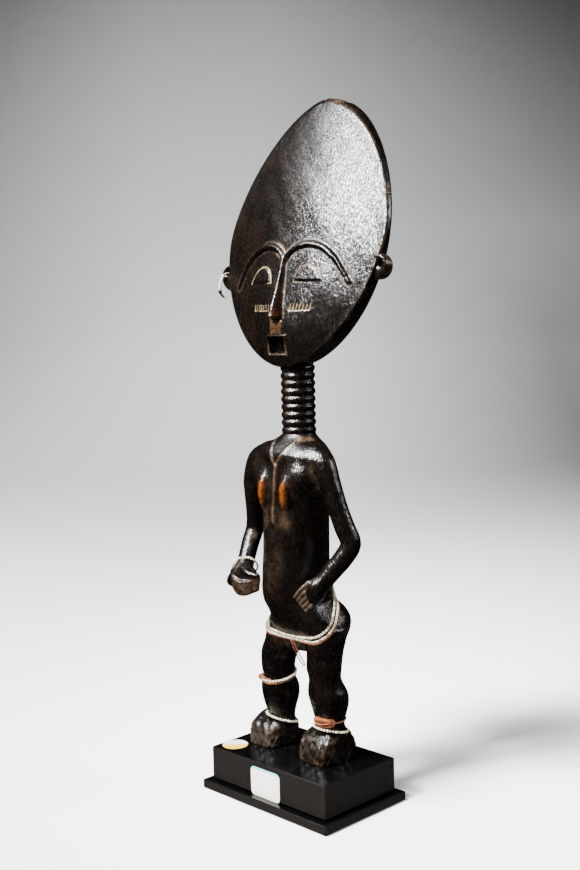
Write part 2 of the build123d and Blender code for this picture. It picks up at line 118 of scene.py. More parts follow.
def finish_material(tree, sockets):
    """Joins a Principled shader with these sockets to the output."""
    shader = node(tree, "BsdfPrincipled", sockets)
    node(tree, "OutputMaterial", {"Surface": shader.outputs[0]})


def oiled_carved_wood():
    """Hardwood blackened with soot and oil and rubbed to a shine: near-black, with an upright grain of
    greyish pores, dust in the hollows, and brown wood where handling wore the black away; along the head's
    upper rim on the figure's left the same brown is also a painted highlight."""
    material, tree = new_material("oiled_carved_wood")
    place = node(tree, "TexCoord").outputs["Object"]
    across, along = PER_MM / 0.9, PER_MM / 11
    grain_place = node(tree, "Mapping", {"Vector": place, "Scale": (across, across, along)})
    grain = node(tree, "TexNoise", {"Vector": grain_place.outputs[0], "Scale": 1.0, "Detail": 5.0,
                                    "Roughness": 0.62}).outputs[0]
    across, along = 1.5 * PER_MM, 0.42 * PER_MM
    pore_place = node(tree, "Mapping", {"Vector": place, "Scale": (across, across, along)})
    pores = node(tree, "TexNoise", {"Vector": pore_place.outputs[0], "Scale": 1.0,
                                    "Detail": 3.0}).outputs[0]
    patch = node(tree, "TexNoise", {"Vector": place, "Scale": 0.045 * PER_MM, "Detail": 5.0,
                                    "Roughness": 0.6}).outputs[0]
    across, along = 0.16 * PER_MM, 0.022 * PER_MM
    streak_place = node(tree, "Mapping", {"Vector": place, "Scale": (across, across, along)})
    streak = node(tree, "TexNoise", {"Vector": streak_place.outputs[0], "Scale": 1.0,
                                     "Detail": 4.0}).outputs[0]
    layer = node(tree, "Attribute", attribute_name="finish")
    parts = node(tree, "SeparateColor", {"Color": layer.outputs["Color"]})
    dust, worn, ochre = parts.outputs[0], parts.outputs[1], parts.outputs[2]
    chalk = layer.outputs["Alpha"]

    brown_share = node(tree, "MapRange", {"Value": streak, "From Min": 0.42, "From Max": 0.72,
                                          "To Max": 0.8}).outputs[0]
    pore_share = node(tree, "MapRange", {"Value": pores, "From Min": 0.54, "From Max": 0.74,
                                         "To Max": 0.5}).outputs[0]
    mottle = node(tree, "TexNoise", {"Vector": place, "Scale": 0.26 * PER_MM, "Detail": 4.0,
                                     "Roughness": 0.7}).outputs[0]
    blotch = node(tree, "Math", {0: patch, 1: mottle}, operation="ADD").outputs[0]
    broken = node(tree, "MapRange", {"Value": blotch, "From Min": 0.84, "From Max": 1.16,
                                     "To Min": 0.1, "To Max": 1.3}).outputs[0]
    fine_broken = node(tree, "MapRange", {"Value": mottle, "From Min": 0.36, "From Max": 0.6,
                                          "To Min": 0.15, "To Max": 1.15}).outputs[0]
    dust_share, wear_and_rim_highlight_share, ochre_share, chalk_share = (
        node(tree, "Math", {0: layer, 1: breaks}, operation="MULTIPLY", use_clamp=True).outputs[0]
        for layer, breaks in ((dust, broken), (worn, fine_broken), (ochre, broken), (chalk, fine_broken)))
    shade = colour("#010101")
    for share, tone in ((brown_share, "#090402"), (pore_share, "#171210"), (dust_share, "#1e140b"),
                        (wear_and_rim_highlight_share, "#4d3b2a"), (ochre_share, "#4f2606"), (chalk_share, "#94835f")):
        shade = node(tree, "Mix", {0: share, 6: shade, 7: colour(tone)}, data_type="RGBA").outputs[2]

    relief = node(tree, "Math", {0: grain, 1: 0.6, 2: pores}, operation="MULTIPLY_ADD").outputs[0]
    dull = node(tree, "Math", {0: dust_share, 1: wear_and_rim_highlight_share}, operation="MAXIMUM").outputs[0]
    polish = node(tree, "MapRange", {"Value": pores, "From Min": 0.35, "From Max": 0.68,
                                     "To Min": 0.15, "To Max": 0.3}).outputs[0]
    sheen = node(tree, "MapRange", {"Value": relief, "From Min": 0.62, "From Max": 0.98,
                                    "To Min": 0.75, "To Max": 0.03}).outputs[0]
    rough = node(tree, "Math", {0: dull, 1: 0.35, 2: polish}, operation="MULTIPLY_ADD",
                 use_clamp=True).outputs[0]
    grain_bump = node(tree, "Bump", {"Strength": 0.35, "Distance": 0.4 * MM, "Height": relief})
    tool_bump = node(tree, "Bump", {"Strength": 0.3, "Distance": 1.4 * MM, "Height": blotch,
                                    "Normal": grain_bump.outputs[0]})
    finish_material(tree, {"Base Color": shade, "Roughness": rough, "Normal": tool_bump.outputs[0],
                           "IOR": 1.45, "Specular IOR Level": sheen})
    return material


def black_lacquer():
    """Sprayed and rubbed black lacquer on wood: a soft mirror with a faint ripple and fine dust. Its colour
    carries painted shade: level faces are painted deeper black and the upright faces a little greyer."""
    material, tree = new_material("sprayed_black_lacquer")
    place = node(tree, "TexCoord").outputs["Object"]
    ripple = node(tree, "TexNoise", {"Vector": place, "Scale": 0.35 * PER_MM, "Detail": 2.0}).outputs[0]
    dust = node(tree, "TexNoise", {"Vector": place, "Scale": 1.6 * PER_MM, "Detail": 2.0}).outputs[0]
    speck = node(tree, "MapRange", {"Value": dust, "From Min": 0.66, "From Max": 0.8,
                                    "To Max": 0.35}).outputs[0]
    # painted shade: faces that look up get a deeper black and upright faces a lighter grey, standing in for
    # how the light falls on them
    facing = node(tree, "SeparateXYZ", {0: node(tree, "NewGeometry").outputs["Normal"]}).outputs["Z"]
    level = node(tree, "MapRange", {"Value": facing, "From Min": 0.3, "From Max": 0.8}).outputs[0]
    tone_with_painted_shade = node(tree, "Mix", {0: level, 6: colour("#131110"), 7: colour("#020202")},
                data_type="RGBA").outputs[2]
    shade = node(tree, "Mix", {0: speck, 6: tone_with_painted_shade, 7: colour("#1e1a17")}, data_type="RGBA")
    rough = node(tree, "MapRange", {"Value": ripple, "From Min": 0.3, "From Max": 0.7,
                                    "To Min": 0.16, "To Max": 0.26}).outputs[0]
    bump = node(tree, "Bump", {"Strength": 0.06, "Distance": 0.4 * MM, "Height": ripple})
    finish_material(tree, {"Base Color": shade.outputs[2], "Roughness": rough, "Normal": bump.outputs[0],
                           "IOR": 1.45, "Specular IOR Level": 0.2})
    return material


def glass_seed_beads(name, pale, dark):
    """Drawn glass seed beads: opaque and glossy, each a little different, with grime between them."""
    material, tree = new_material(name)
    tint = node(tree, "Attribute", attribute_name="tint").outputs["Fac"]
    place = node(tree, "TexCoord").outputs["Object"]
    grime = node(tree, "TexNoise", {"Vector": place, "Scale": 0.7 * PER_MM, "Detail": 3.0}).outputs[0]
    share = node(tree, "MapRange", {"Value": grime, "From Min": 0.5, "From Max": 0.75,
                                    "To Max": 0.5}).outputs[0]
    body = node(tree, "Mix", {0: tint, 6: colour(pale), 7: colour(dark)}, data_type="RGBA").outputs[2]
    shade = node(tree, "Mix", {0: share, 6: body, 7: colour("#2e2218")}, data_type="RGBA").outputs[2]
    finish_material(tree, {"Base Color": shade, "Roughness": 0.28, "IOR": 1.52, "Coat Weight": 0.2})
    return material


def spun_cotton(name, light, dark):
    """Hand-spun cotton thread: matt and hairy, its colour uneven along the twist."""
    material, tree = new_material(name)
    place = node(tree, "TexCoord").outputs["Object"]
    fibre = node(tree, "TexNoise", {"Vector": place, "Scale": 2.6 * PER_MM, "Detail": 4.0}).outputs[0]
    stain = node(tree, "TexNoise", {"Vector": place, "Scale": 0.24 * PER_MM, "Detail": 2.0}).outputs[0]
    mixed = node(tree, "Math", {0: fibre, 1: 0.5, 2: stain}, operation="MULTIPLY_ADD").outputs[0]
    share = node(tree, "MapRange", {"Value": mixed, "From Min": 0.55, "From Max": 0.95}).outputs[0]
    shade = node(tree, "Mix", {0: share, 6: colour(dark), 7: colour(light)}, data_type="RGBA").outputs[2]
    bump = node(tree, "Bump", {"Strength": 0.7, "Distance": 0.2 * MM, "Height": fibre})
    finish_material(tree, {"Base Color": shade, "Roughness": 0.9, "Normal": bump.outputs[0],
                           "Sheen Weight": 0.05, "Sheen Roughness": 0.5})
    return material


def gummed_paper(name, near, far, edge_at, edge_run):
    """Uncoated gummed paper in two colours that meet along a line across its place: Object coordinates
    times edge_run, compared with edge_at."""
    blur = 0.6 * MM
    material, tree = new_material(name)
    place = node(tree, "TexCoord").outputs["Object"]
    across = node(tree, "VectorMath", {0: place, 1: edge_run}, operation="DOT_PRODUCT").outputs["Value"]
    fibre = node(tree, "TexNoise", {"Vector": place, "Scale": 1.8 * PER_MM, "Detail": 4.0}).outputs[0]
    wander = node(tree, "Math", {0: fibre, 1: blur, 2: across}, operation="MULTIPLY_ADD").outputs[0]
    side = node(tree, "MapRange", {"Value": wander, "From Min": edge_at,
                                   "From Max": edge_at + blur}).outputs[0]
    base = node(tree, "Mix", {0: side, 6: colour(near), 7: colour(far)}, data_type="RGBA").outputs[2]
    share = node(tree, "MapRange", {"Value": fibre, "From Min": 0.45, "From Max": 0.8,
                                    "To Max": 0.25}).outputs[0]
    shade = node(tree, "Mix", {0: share, 6: base, 7: colour("#b9b2a6")}, data_type="RGBA").outputs[2]
    bump = node(tree, "Bump", {"Strength": 0.2, "Distance": 0.1 * MM, "Height": fibre})
    finish_material(tree, {"Base Color": shade, "Roughness": 0.62, "Normal": bump.outputs[0]})
    return material


def plain_finish(name, tone, rough, metallic=0.0, lumps=0.9 * PER_MM):
    """A matt felt or a turned steel: one colour broken by a fine noise."""
    material, tree = new_material(name)
    place = node(tree, "TexCoord").outputs["Object"]
    noise = node(tree, "TexNoise", {"Vector": place, "Scale": lumps, "Detail": 3.0}).outputs[0]
    share = node(tree, "MapRange", {"Value": noise, "From Min": 0.3, "From Max": 0.8,
                                    "To Max": 0.3}).outputs[0]
    shade = node(tree, "Mix", {0: share, 6: colour(tone), 7: colour("#6c6660")},
                 data_type="RGBA").outputs[2]
    bump = node(tree, "Bump", {"Strength": 0.3, "Distance": 0.2 * MM, "Height": noise})
    finish_material(tree, {"Base Color": shade, "Roughness": rough, "Metallic": metallic,
                           "Normal": bump.outputs[0]})
    return material


wood = oiled_carved_wood()
lacquer = black_lacquer()
cream_glass = glass_seed_beads("cream_glass_beads", "#cfc5ad", "#85755a")
black_glass = glass_seed_beads("black_glass_beads", "#16120f", "#2c2622")
ochre_cotton = spun_cotton("ochre_spun_cotton", "#844206", "#2a1204")
grey_cotton = spun_cotton("grey_spun_cotton", "#b9b4a8", "#5c554b")
felt = plain_finish("pressed_felt", "#17150f", 0.95)
steel = plain_finish("turned_steel", "#8d8b88", 0.35, metallic=1.0)


# ---------------------------------------------------------------- mesh helpers
def add_piece(name, verts, faces, material, body, slot, replaced=(), **layers):
    """A smooth mesh piece from millimetre points, riding on a body. Extra layers are per-point values:
    one number a point, or four for a colour."""
    mesh = bpy.data.meshes.new(name)
    mesh.from_pydata((np.asarray(verts) * MM).tolist(), [], [list(face) for face in faces])
    mesh.polygons.foreach_set("use_smooth", np.ones(len(mesh.polygons), bool))
    for layer, values in layers.items():
        values = np.asarray(values, np.float32)
        kind, field = ("FLOAT_COLOR", "color") if values.ndim == 2 else ("FLOAT", "value")
        mesh.attributes.new(layer, kind, "POINT").data.foreach_set(field, values.ravel())
    mesh.materials.append(material)
    mesh.update()
    piece = bpy.data.objects.new(name, mesh)
    bpy.context.scene.collection.objects.link(piece)
    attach(piece, body)
    if replaced:
        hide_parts(*replaced)
    return piece


def shell(rings, looped=False):
    """Points and faces of a skin over rings of points: quads between rings, and at each end a single
    middle point, or, when looped, the last ring joined to the first."""
    count, around = rings.shape[:2]
    verts = rings.reshape(-1, 3)
    row = np.arange(count if looped else count - 1)[:, None] * around
    here = np.arange(around)[None, :]
    beside = (here + 1) % around
    above = (row + around) % (count * around)
    faces = np.stack([row + here, row + beside, above + beside, above + here], -1).reshape(-1, 4).tolist()
    if not looped:
        first, last = len(verts), len(verts) + 1
        verts = np.vstack([verts, rings[0].mean(0), rings[-1].mean(0)])
        top = (count - 1) * around
        faces += [(first, (i + 1) % around, i) for i in range(around)]
        faces += [(last, top + i, top + (i + 1) % around) for i in range(around)]
    return verts, faces


def gathered(parts):
    """Several point-and-face pairs as one."""
    verts, faces, start = [], [], 0
    for part_verts, part_faces in parts:
        verts.append(part_verts)
        faces += [[start + i for i in face] for face in part_faces]
        start += len(part_verts)
    return np.vstack(verts), faces


def unit(vectors):
    return vectors / np.linalg.norm(vectors, axis=-1, keepdims=True)


def tangents(points, looped):
    """Unit run of a path at each of its points."""
    if looped:
        return unit(np.roll(points, -1, 0) - np.roll(points, 1, 0))
    return unit(np.gradient(points, axis=0))


def sides(runs, up=(0.2, 0.31, 0.93)):
    """Two unit directions square to each run."""
    first = unit(np.cross(runs, up))
    return first, np.cross(runs, first)


def spun(points, radius, looped, plies=3, pitch=2.4, around=10):
    """A thread along a path: a tube whose section has one lobe a ply, turning once each pitch, and
    which narrows to its ends when it isn't a loop."""
    run = np.linalg.norm(np.diff(points, axis=0, append=points[:1]), axis=1)
    along = np.cumsum(run) - run[0]
    runs = tangents(points, looped)
    first, second = sides(runs)
    turn = np.arange(around) * TURN / around
    twist = along[:, None] / pitch * TURN
    reach = radius * (0.86 + 0.2 * np.cos(plies * turn[None, :] + twist))
    if not looped:
        ends = np.minimum(np.arange(len(points)), np.arange(len(points))[::-1])
        reach = reach * np.clip(ends / 3.0, 0.15, 1)[:, None] ** 0.5
    rings = points[:, None] + reach[..., None] * (np.cos(turn)[None, :, None] * first[:, None]
                                                  + np.sin(turn)[None, :, None] * second[:, None])
    return shell(rings, looped)


def resampled(points, count, looped):
    """Evenly spaced points along a path."""
    if looped:
        points = np.vstack([points, points[:1]])
    along = np.concatenate([[0], np.cumsum(np.linalg.norm(np.diff(points, axis=0), axis=1))])
    at = np.linspace(0, along[-1], count, endpoint=not looped)
    return np.stack([np.interp(at, along, points[:, axis]) for axis in range(3)], 1)


def length_of(points, looped):
    closed = np.vstack([points, points[:1]]) if looped else points
    return np.linalg.norm(np.diff(closed, axis=0), axis=1).sum()


def seed_beads(points, runs, radius, length, slack=0.05):
    """One rounded ring of glass at each point: a barrel of five ovals along the run, its size and
    lean a little different each time. Returns points, faces and a tint for each point."""
    profile = np.array([(-0.5, 0.45), (-0.38, 0.86), (0.0, 1.0), (0.38, 0.86), (0.5, 0.45)])
    around = 8
    turn = np.arange(around) * TURN / around
    count = len(points)
    runs = unit(runs + rng.normal(0, slack, (count, 3)))
    first, second = sides(runs)
    size = radius * (1 + rng.normal(0, 0.05, count).clip(-0.1, 0.1))
    long = length * (1 + rng.normal(0, 0.06, count).clip(-0.1, 0.1))
    ring = np.cos(turn)[None, :, None] * first[:, None] + np.sin(turn)[None, :, None] * second[:, None]
    rings = (points[:, None, None]
             + long[:, None, None, None] * profile[None, :, 0, None, None] * runs[:, None, None]
             + (size[:, None] * profile[None, :, 1])[:, :, None, None] * ring[:, None])
    parts = [shell(bead) for bead in rings]
    verts, faces = gathered(parts)
    tint = np.repeat(rng.random(count) ** 2, len(parts[0][0]))
    return verts, faces, tint


# ---------------------------------------------------------------- the figure's body as one field
def eased(rows, level):
    """A smooth curve through rows of (level, values...), in cubic pieces with the neighbours' slopes."""
    rows = np.array(rows, float)
    level = np.clip(level, rows[0, 0], rows[-1, 0])
    slope = np.gradient(rows[:, 1:], rows[:, 0], axis=0)
    i = np.clip(np.searchsorted(rows[:, 0], level) - 1, 0, len(rows) - 2)
    step = rows[i + 1, 0] - rows[i, 0]
    t = ((level - rows[i, 0]) / step)[..., None]
    step = step[..., None]
    return (rows[i, 1:] * (2 * t**3 - 3 * t**2 + 1) + slope[i] * step * (t**3 - 2 * t**2 + t)
            + rows[i + 1, 1:] * (3 * t**2 - 2 * t**3) + slope[i + 1] * step * (t**3 - t**2))


def smooth_min(a, b, k):
    """The lesser of two fields, rounded over a width k where they are near equal."""
    h = np.maximum(k - np.abs(a - b), 0) / k
    return np.minimum(a, b) - h * h * k / 4


class Clay:
    """A block of grid points, each holding its distance to the wood's surface, negative inside."""

    def __init__(self, low, high, step):
        self.step = step
        self.low = np.array(low, float)
        counts = np.ceil((np.array(high) - low) / step).astype(int) + 1
        self.axes = [self.low[i] + step * np.arange(counts[i]) for i in range(3)]
        self.field = np.full(counts, 20.0, np.float32)

    def window(self, low, high):
        """The slices and the coordinates of the grid inside a box."""
        cut = []
        for i in range(3):
            start = int(np.clip((low[i] - self.low[i]) / self.step, 0, len(self.axes[i]) - 1))
            end = int(np.clip((high[i] - self.low[i]) / self.step + 2, 1, len(self.axes[i])))
            cut.append(slice(start, end))
        x, y, z = (self.axes[i][cut[i]] for i in range(3))
        return tuple(cut), x[:, None, None], y[None, :, None], z[None, None, :]

    def join(self, cut, distance, k):
        self.field[cut] = smooth_min(self.field[cut], distance, k)

    def tube(self, rows, k, power=2.0):
        """Upright, with level oval sections: rows of (height, x, y, half width, half depth)."""
        low, high = rows[0][0], rows[-1][0]
        reach = max(max(abs(row[1]) + row[3] for row in rows), 40) + 8
        cut, x, y, z = self.window((-reach, -60, low), (reach, 60, high))
        x_mid, y_mid, half_x, half_y = np.moveaxis(eased(rows, z[0, 0]), -1, 0)
        out = (np.abs((x - x_mid) / half_x) ** power + np.abs((y - y_mid) / half_y) ** power) ** (1 / power)
        self.join(cut, (out - 1) * np.minimum(half_x, half_y), k)

    def limb(self, stations, k, pieces=4):
        """A round limb along stations of (x, y, height, radius), as short cones with round ends."""
        stations = np.array(stations, float)
        count = (len(stations) - 1) * pieces + 1
        numbered = np.hstack([np.arange(len(stations))[:, None], stations])
        run = eased(numbered, np.linspace(0, len(stations) - 1, count))
        pad = k + 3
        low, high = run[:, :3].min(0) - run[:, 3].max() - pad, run[:, :3].max(0) + run[:, 3].max() + pad
        cut, x, y, z = self.window(low, high)
        whole = np.full(self.field[cut].shape, 50.0, np.float32)
        for start, end in zip(run, run[1:]):
            reach = max(start[3], end[3]) + pad
            near, nx, ny, nz = self.window(np.minimum(start, end)[:3] - reach,
                                           np.maximum(start, end)[:3] + reach)
            part = tuple(slice(n.start - c.start, n.stop - c.start) for n, c in zip(near, cut))
            run_to = (end - start)[:3]
            share = ((nx - start[0]) * run_to[0] + (ny - start[1]) * run_to[1]
                     + (nz - start[2]) * run_to[2]) / (run_to @ run_to)
            share = np.clip(share, 0, 1)
            away = np.sqrt((nx - start[0] - share * run_to[0]) ** 2
                           + (ny - start[1] - share * run_to[1]) ** 2
                           + (nz - start[2] - share * run_to[2]) ** 2)
            whole[part] = np.minimum(whole[part], away - start[3] - share * (end[3] - start[3]))
        self.join(cut, whole, k)

    def egg(self, middle, halves, k, lean=0.0):
        """An ellipsoid, its top leaning forward by lean for each millimetre up."""
        reach = np.array(halves) + k + 4
        cut, x, y, z = self.window(np.array(middle) - reach, np.array(middle) + reach)
        up = z - middle[2]
        offset = [(x - middle[0]), (y - middle[1] + lean * up), up]
        out = np.sqrt(sum((o / h) ** 2 for o, h in zip(offset, halves)))
        rate = np.sqrt(sum((o / h**2) ** 2 for o, h in zip(offset, halves))) + 1e-6
        self.join(cut, out * (out - 1) / rate, k)

    def at(self, points):
        """The field between grid points, by straight interpolation."""
        place = (np.asarray(points) - self.low) / self.step
        base = np.clip(np.floor(place).astype(int), 0, np.array(self.field.shape) - 2)
        part = place - base
        total = np.zeros(len(place))
        for corner in np.ndindex(2, 2, 2):
            weight = np.prod(np.where(corner, part, 1 - part), axis=1)
            total += weight * self.field[tuple((base + corner).T)]
        return total

    def slope(self, points):
        """The field's rise along each axis, over one step."""
        half = self.step * 0.75
        return np.stack([(self.at(points + half * axis) - self.at(points - half * axis)) / (2 * half)
                         for axis in np.eye(3)], 1)

    def skin(self):
        """The surface where the field is nought: one point in each cell that it crosses, at the mean of
        the crossings on the cell's edges, and one quad round each grid edge that it crosses."""
        field = self.field
        inside = field < 0
        corners = list(np.ndindex(2, 2, 2))
        shape = np.array(field.shape) - 1
        views = [inside[c[0]:c[0] + shape[0], c[1]:c[1] + shape[1], c[2]:c[2] + shape[2]] for c in corners]
        crossed = np.logical_or.reduce(views) & ~np.logical_and.reduce(views)
        cells = np.argwhere(crossed)
        values = np.stack([field[tuple((cells + c).T)] for c in corners], 1)
        total, count = np.zeros((len(cells), 3)), np.zeros(len(cells))
        for i, a in enumerate(corners):
            for j, b in enumerate(corners):
                if j <= i or sum(abs(p - q) for p, q in zip(a, b)) != 1:
                    continue
                cross = (values[:, i] < 0) != (values[:, j] < 0)
                share = np.where(cross, values[:, i] / (values[:, i] - values[:, j] + 1e-12), 0)
                spot = np.array(a) + share[:, None] * (np.array(b) - np.array(a))
                total += np.where(cross[:, None], spot, 0)
                count += cross
        points = self.low + (cells + total / count[:, None]) * self.step
        index = np.full(shape, -1)
        index[tuple(cells.T)] = np.arange(len(cells))
        faces = []
        for axis in range(3):
            u, v = (axis + 1) % 3, (axis + 2) % 3
            start = np.moveaxis(inside, (axis, u, v), (0, 1, 2))
            ids = np.moveaxis(index, (axis, u, v), (0, 1, 2))
            edge = np.argwhere(start[:-1, 1:-1, 1:-1] != start[1:, 1:-1, 1:-1]) + (0, 1, 1)
            i, j, k = edge.T
            quad = np.stack([ids[i, j - 1, k - 1], ids[i, j, k - 1], ids[i, j, k], ids[i, j - 1, k]], 1)
            outward = start[i, j, k]
            faces.append(np.where(outward[:, None], quad, quad[:, ::-1]))
        for _ in range(2):
            rise = self.slope(points)
            points = points - (self.at(points) / (rise**2).sum(1).clip(0.2))[:, None] * rise
        return points, np.vstack(faces)


def near_path(points, path, width):
    """1 on a path of points, falling to 0 as a bell of this width."""
    nearest = np.full(len(points), 1e9)
    for start, end in zip(np.array(path, float), np.array(path[1:], float)):
        run_to = end - start
        share = np.clip((points - start) @ run_to / (run_to @ run_to), 0, 1)
        nearest = np.minimum(nearest, ((points - start - share[:, None] * run_to) ** 2).sum(1))
    return np.exp(-nearest / width**2)


# heights above the soles, then x, y, half width, half depth
torso_rows = [
    (66.0, 0.0, 5.5, 9.0, 6.0), (70.5, 0.3, 5.8, 17.0, 11.0), (77.8, 1.6, 6.3, 28.2, 15.8),
    (83.3, 3.0, 6.0, 27.6, 19.5), (88.4, 3.2, 5.6, 25.0, 21.2), (92.3, 1.8, 4.0, 23.2, 21.0),
    (97.9, -0.6, 2.0, 21.6, 21.3), (103.7, -1.4, 1.0, 21.3, 21.3), (113.6, -0.9, 0.0, 20.8, 20.6),
    (129.5, -0.3, 0.0, 20.7, 19.7), (142.1, 0.1, 0.0, 20.6, 19.6), (154.7, 0.4, 0.0, 20.7, 19.2),
    (162.0, 0.2, 0.0, 22.0, 18.2), (171.0, 0.0, -0.3, 25.5, 17.0), (184.0, 0.0, -0.5, 29.5, 16.0),
    (192.1, 0.1, 0.0, 26.4, 15.4), (196.2, -0.2, 2.0, 20.5, 14.0), (199.6, -0.3, 3.8, 13.6, 11.8),
    (203.0, 0.0, 4.7, 9.6, 9.6), (206.0, 0.0, 4.7, 8.6, 8.6),
]
right_leg_rows = [
    (6.0, -21.7, 4.5, 8.6), (12.0, -21.7, 4.5, 8.5), (18.1, -21.7, 4.5, 8.4), (22.2, -22.0, 4.5, 9.3),
    (26.4, -21.7, 4.0, 10.5), (31.1, -21.6, 4.0, 11.7), (36.0, -21.2, 3.5, 12.2), (40.0, -21.2, 3.0, 12.0),
    (45.7, -20.6, 2.0, 10.2), (50.2, -21.3, 2.0, 10.6), (57.8, -21.5, 3.0, 11.5), (63.5, -19.2, 3.0, 12.5),
    (68.9, -17.0, 4.0, 12.9), (80.0, -14.5, 5.0, 13.2),
]
left_leg_rows = [
    (6.0, 21.7, 4.5, 8.9), (12.0, 21.7, 4.5, 8.9), (19.8, 21.6, 4.5, 8.9), (24.9, 21.4, 4.5, 9.2),
    (28.8, 21.4, 4.5, 10.3), (33.5, 22.0, 4.0, 11.4), (37.9, 21.5, 4.0, 12.3), (42.3, 20.9, 3.5, 12.4),
    (46.1, 20.3, 3.0, 11.4), (50.8, 20.3, 2.0, 10.1), (57.0, 19.6, 2.0, 10.9), (64.3, 19.3, 3.0, 11.3),
    (69.5, 19.9, 3.0, 11.7), (75.7, 19.6, 4.0, 12.6), (82.0, 17.0, 4.5, 12.8),
]
# x, y, height, radius
left_arm_run = [
    (20.0, -1.0, 188.5, 8.5), (27.0, -2.0, 184.6, 7.6), (32.6, -2.0, 172.0, 6.6), (37.4, -1.0, 158.5, 6.2),
    (41.5, 0.0, 148.0, 6.3), (45.2, 0.8, 138.6, 6.2), (42.0, -3.0, 130.0, 6.0), (37.4, -7.0, 122.9, 5.8),
    (33.0, -11.0, 116.0, 5.6), (29.5, -13.5, 112.0, 5.6),
]
right_arm_run = [
    (-20.0, -1.0, 188.5, 8.5), (-29.5, -2.0, 184.0, 7.6), (-35.2, -2.0, 172.0, 6.6),
    (-35.3, -2.0, 163.0, 6.3), (-36.0, -1.0, 150.0, 5.7), (-38.3, 0.6, 139.5, 5.8),
    (-37.2, -4.5, 131.0, 5.7), (-34.6, -10.0, 123.5, 5.5), (-32.9, -14.0, 117.0, 5.5),
    (-31.6, -16.5, 113.5, 5.8),
]
neck_low, neck_high, neck_y, neck_radius, neck_groove, neck_rings = 202.0, 245.0, 4.7, 10.8, 1.5, 9
foot_right = (-28.0, 3.4, 13.0, 15.0)
foot_left = (18.6, 4.6, 14.0, 16.6)
sternum_height, sternum_end = 184.5, 150.0


def torso_front(x, height):
    """The torso's front Y over a point."""
    x_mid, y_mid, half_x, half_y = np.moveaxis(eased(torso_rows, np.asarray(height, float)), -1, 0)
    return y_mid - half_y * np.sqrt(np.clip(1 - ((x - x_mid) / half_x) ** 2, 0, 1))


def chest_line(side):
    """The carved line from the side of the neck down to the breastbone."""
    share = np.linspace(0, 1, 9)
    x = side * 9.5 * (1 - share) ** 0.8
    height = 200.5 - (200.5 - sternum_height) * share
    return np.stack([x, torso_front(x, height) + 0.2, height], 1)


def breastbone_line():
    height = np.linspace(sternum_height, sternum_end, 9)
    x = -0.8 * np.sin((sternum_height - height) / 12)
    return np.stack([x, torso_front(x, height) + 0.2, height], 1)


def add_foot(clay, foot, height):
    """A blunt block: squared sides, a top that slopes down to the toes, a toe face that leans back,
    and four grooves down it."""
    x_mid, y_mid, half_x, half_y = foot
    low = (x_mid - half_x - 5, y_mid - half_y - 5, -3)
    cut, x, y, z = clay.window(low, (x_mid + half_x + 5, y_mid + half_y + 5, 30))
    u, v = (x - x_mid) / half_x, (y - y_mid) / half_y
    swell = 1 - 0.05 * ((z - 5) / 8) ** 2
    sides_out = ((np.abs(u) ** 3.2 + np.abs(v) ** 3.2) ** (1 / 3.2) - swell) * half_x
    rise = 0.42 * (np.minimum(y - y_mid, 4) + half_y)
    top = (z - height - rise) * 0.92
    back_drop = (z - height - 9 + 0.9 * (y - y_mid - 6)) * 0.74
    toe = (y_mid - half_y - y + 0.3 * (z - 3)) * 0.957
    solid = smooth_min(-sides_out, -top, 4.0)
    solid = smooth_min(solid, -toe, 2.5)
    block = -smooth_min(solid, -back_drop, 5.0)
    for groove in (-0.52, -0.17, 0.22, 0.6):
        near = np.exp(-((u - groove) * half_x / 0.8) ** 2) * (v < -0.45) * np.clip((height - z) / 2, 0, 1)
        block = block + 0.55 * near * np.clip((-v - 0.45) / 0.2, 0, 1)
    block = block + 0.35 * np.sin(0.9 * x + 0.5 * z) * np.sin(0.7 * y - 0.8 * z + 1)
    block = block + 0.22 * np.sin(1.7 * x - 1.1 * z + y) * np.clip((12 - z) / 6, 0, 1)
    clay.join(cut, block, 2.5)


def model_body():
    """Everything below the head, joined as one carving."""
    clay = Clay((-51.0, -31.0, -1.5), (55.0, 33.0, 249.0), 0.8)
    clay.tube(torso_rows, 0.5, 2.15)
    for rows in (right_leg_rows, left_leg_rows):
        clay.tube([(h, x, y, r, r) for h, x, y, r in rows], 3.5)
    for side in (-1, 1):
        clay.egg((side * 13.2 + 1.0, 12.6, 84.0), (13.6, 13.8, 14.2), 4.0)
    for foot, height in ((foot_right, 12.0), (foot_left, 13.0)):
        add_foot(clay, foot, height)
    for run in (right_arm_run, left_arm_run):
        clay.limb(run, 2.5)
    for side in (-1, 1):
        clay.egg((side * 9.3, -15.6, 166.5), (4.2, 6.2, 12.0), 3.0, lean=0.05)
        clay.egg((side * 14.0, -11.0, 176.0), (9.0, 6.5, 9.0), 5.0)
        clay.limb([(*p, 0.8) for p in chest_line(side)[1:-1]], 1.0, 1)
    clay.limb([(*p, 0.75) for p in breastbone_line()], 1.0, 1)
    add_right_hand(clay)
    add_left_hand(clay)
    cut, x, y, z = clay.window((-20, -15, neck_low - 4), (20, 25, 249))
    phase = (z - neck_low) / (neck_high - neck_low) * neck_rings
    ring = neck_radius - neck_groove * np.abs(2 * (phase - np.floor(phase)) - 1) ** 2.2
    clay.join(cut, np.maximum(np.hypot(x, y - neck_y) - ring, neck_low - 2 - z), 0.6)
    clay.field = np.maximum(clay.field, (-clay.axes[2])[None, None, :].astype(np.float32))
    clay.field = np.maximum(clay.field, (clay.axes[2] - 247)[None, None, :].astype(np.float32))
    return clay


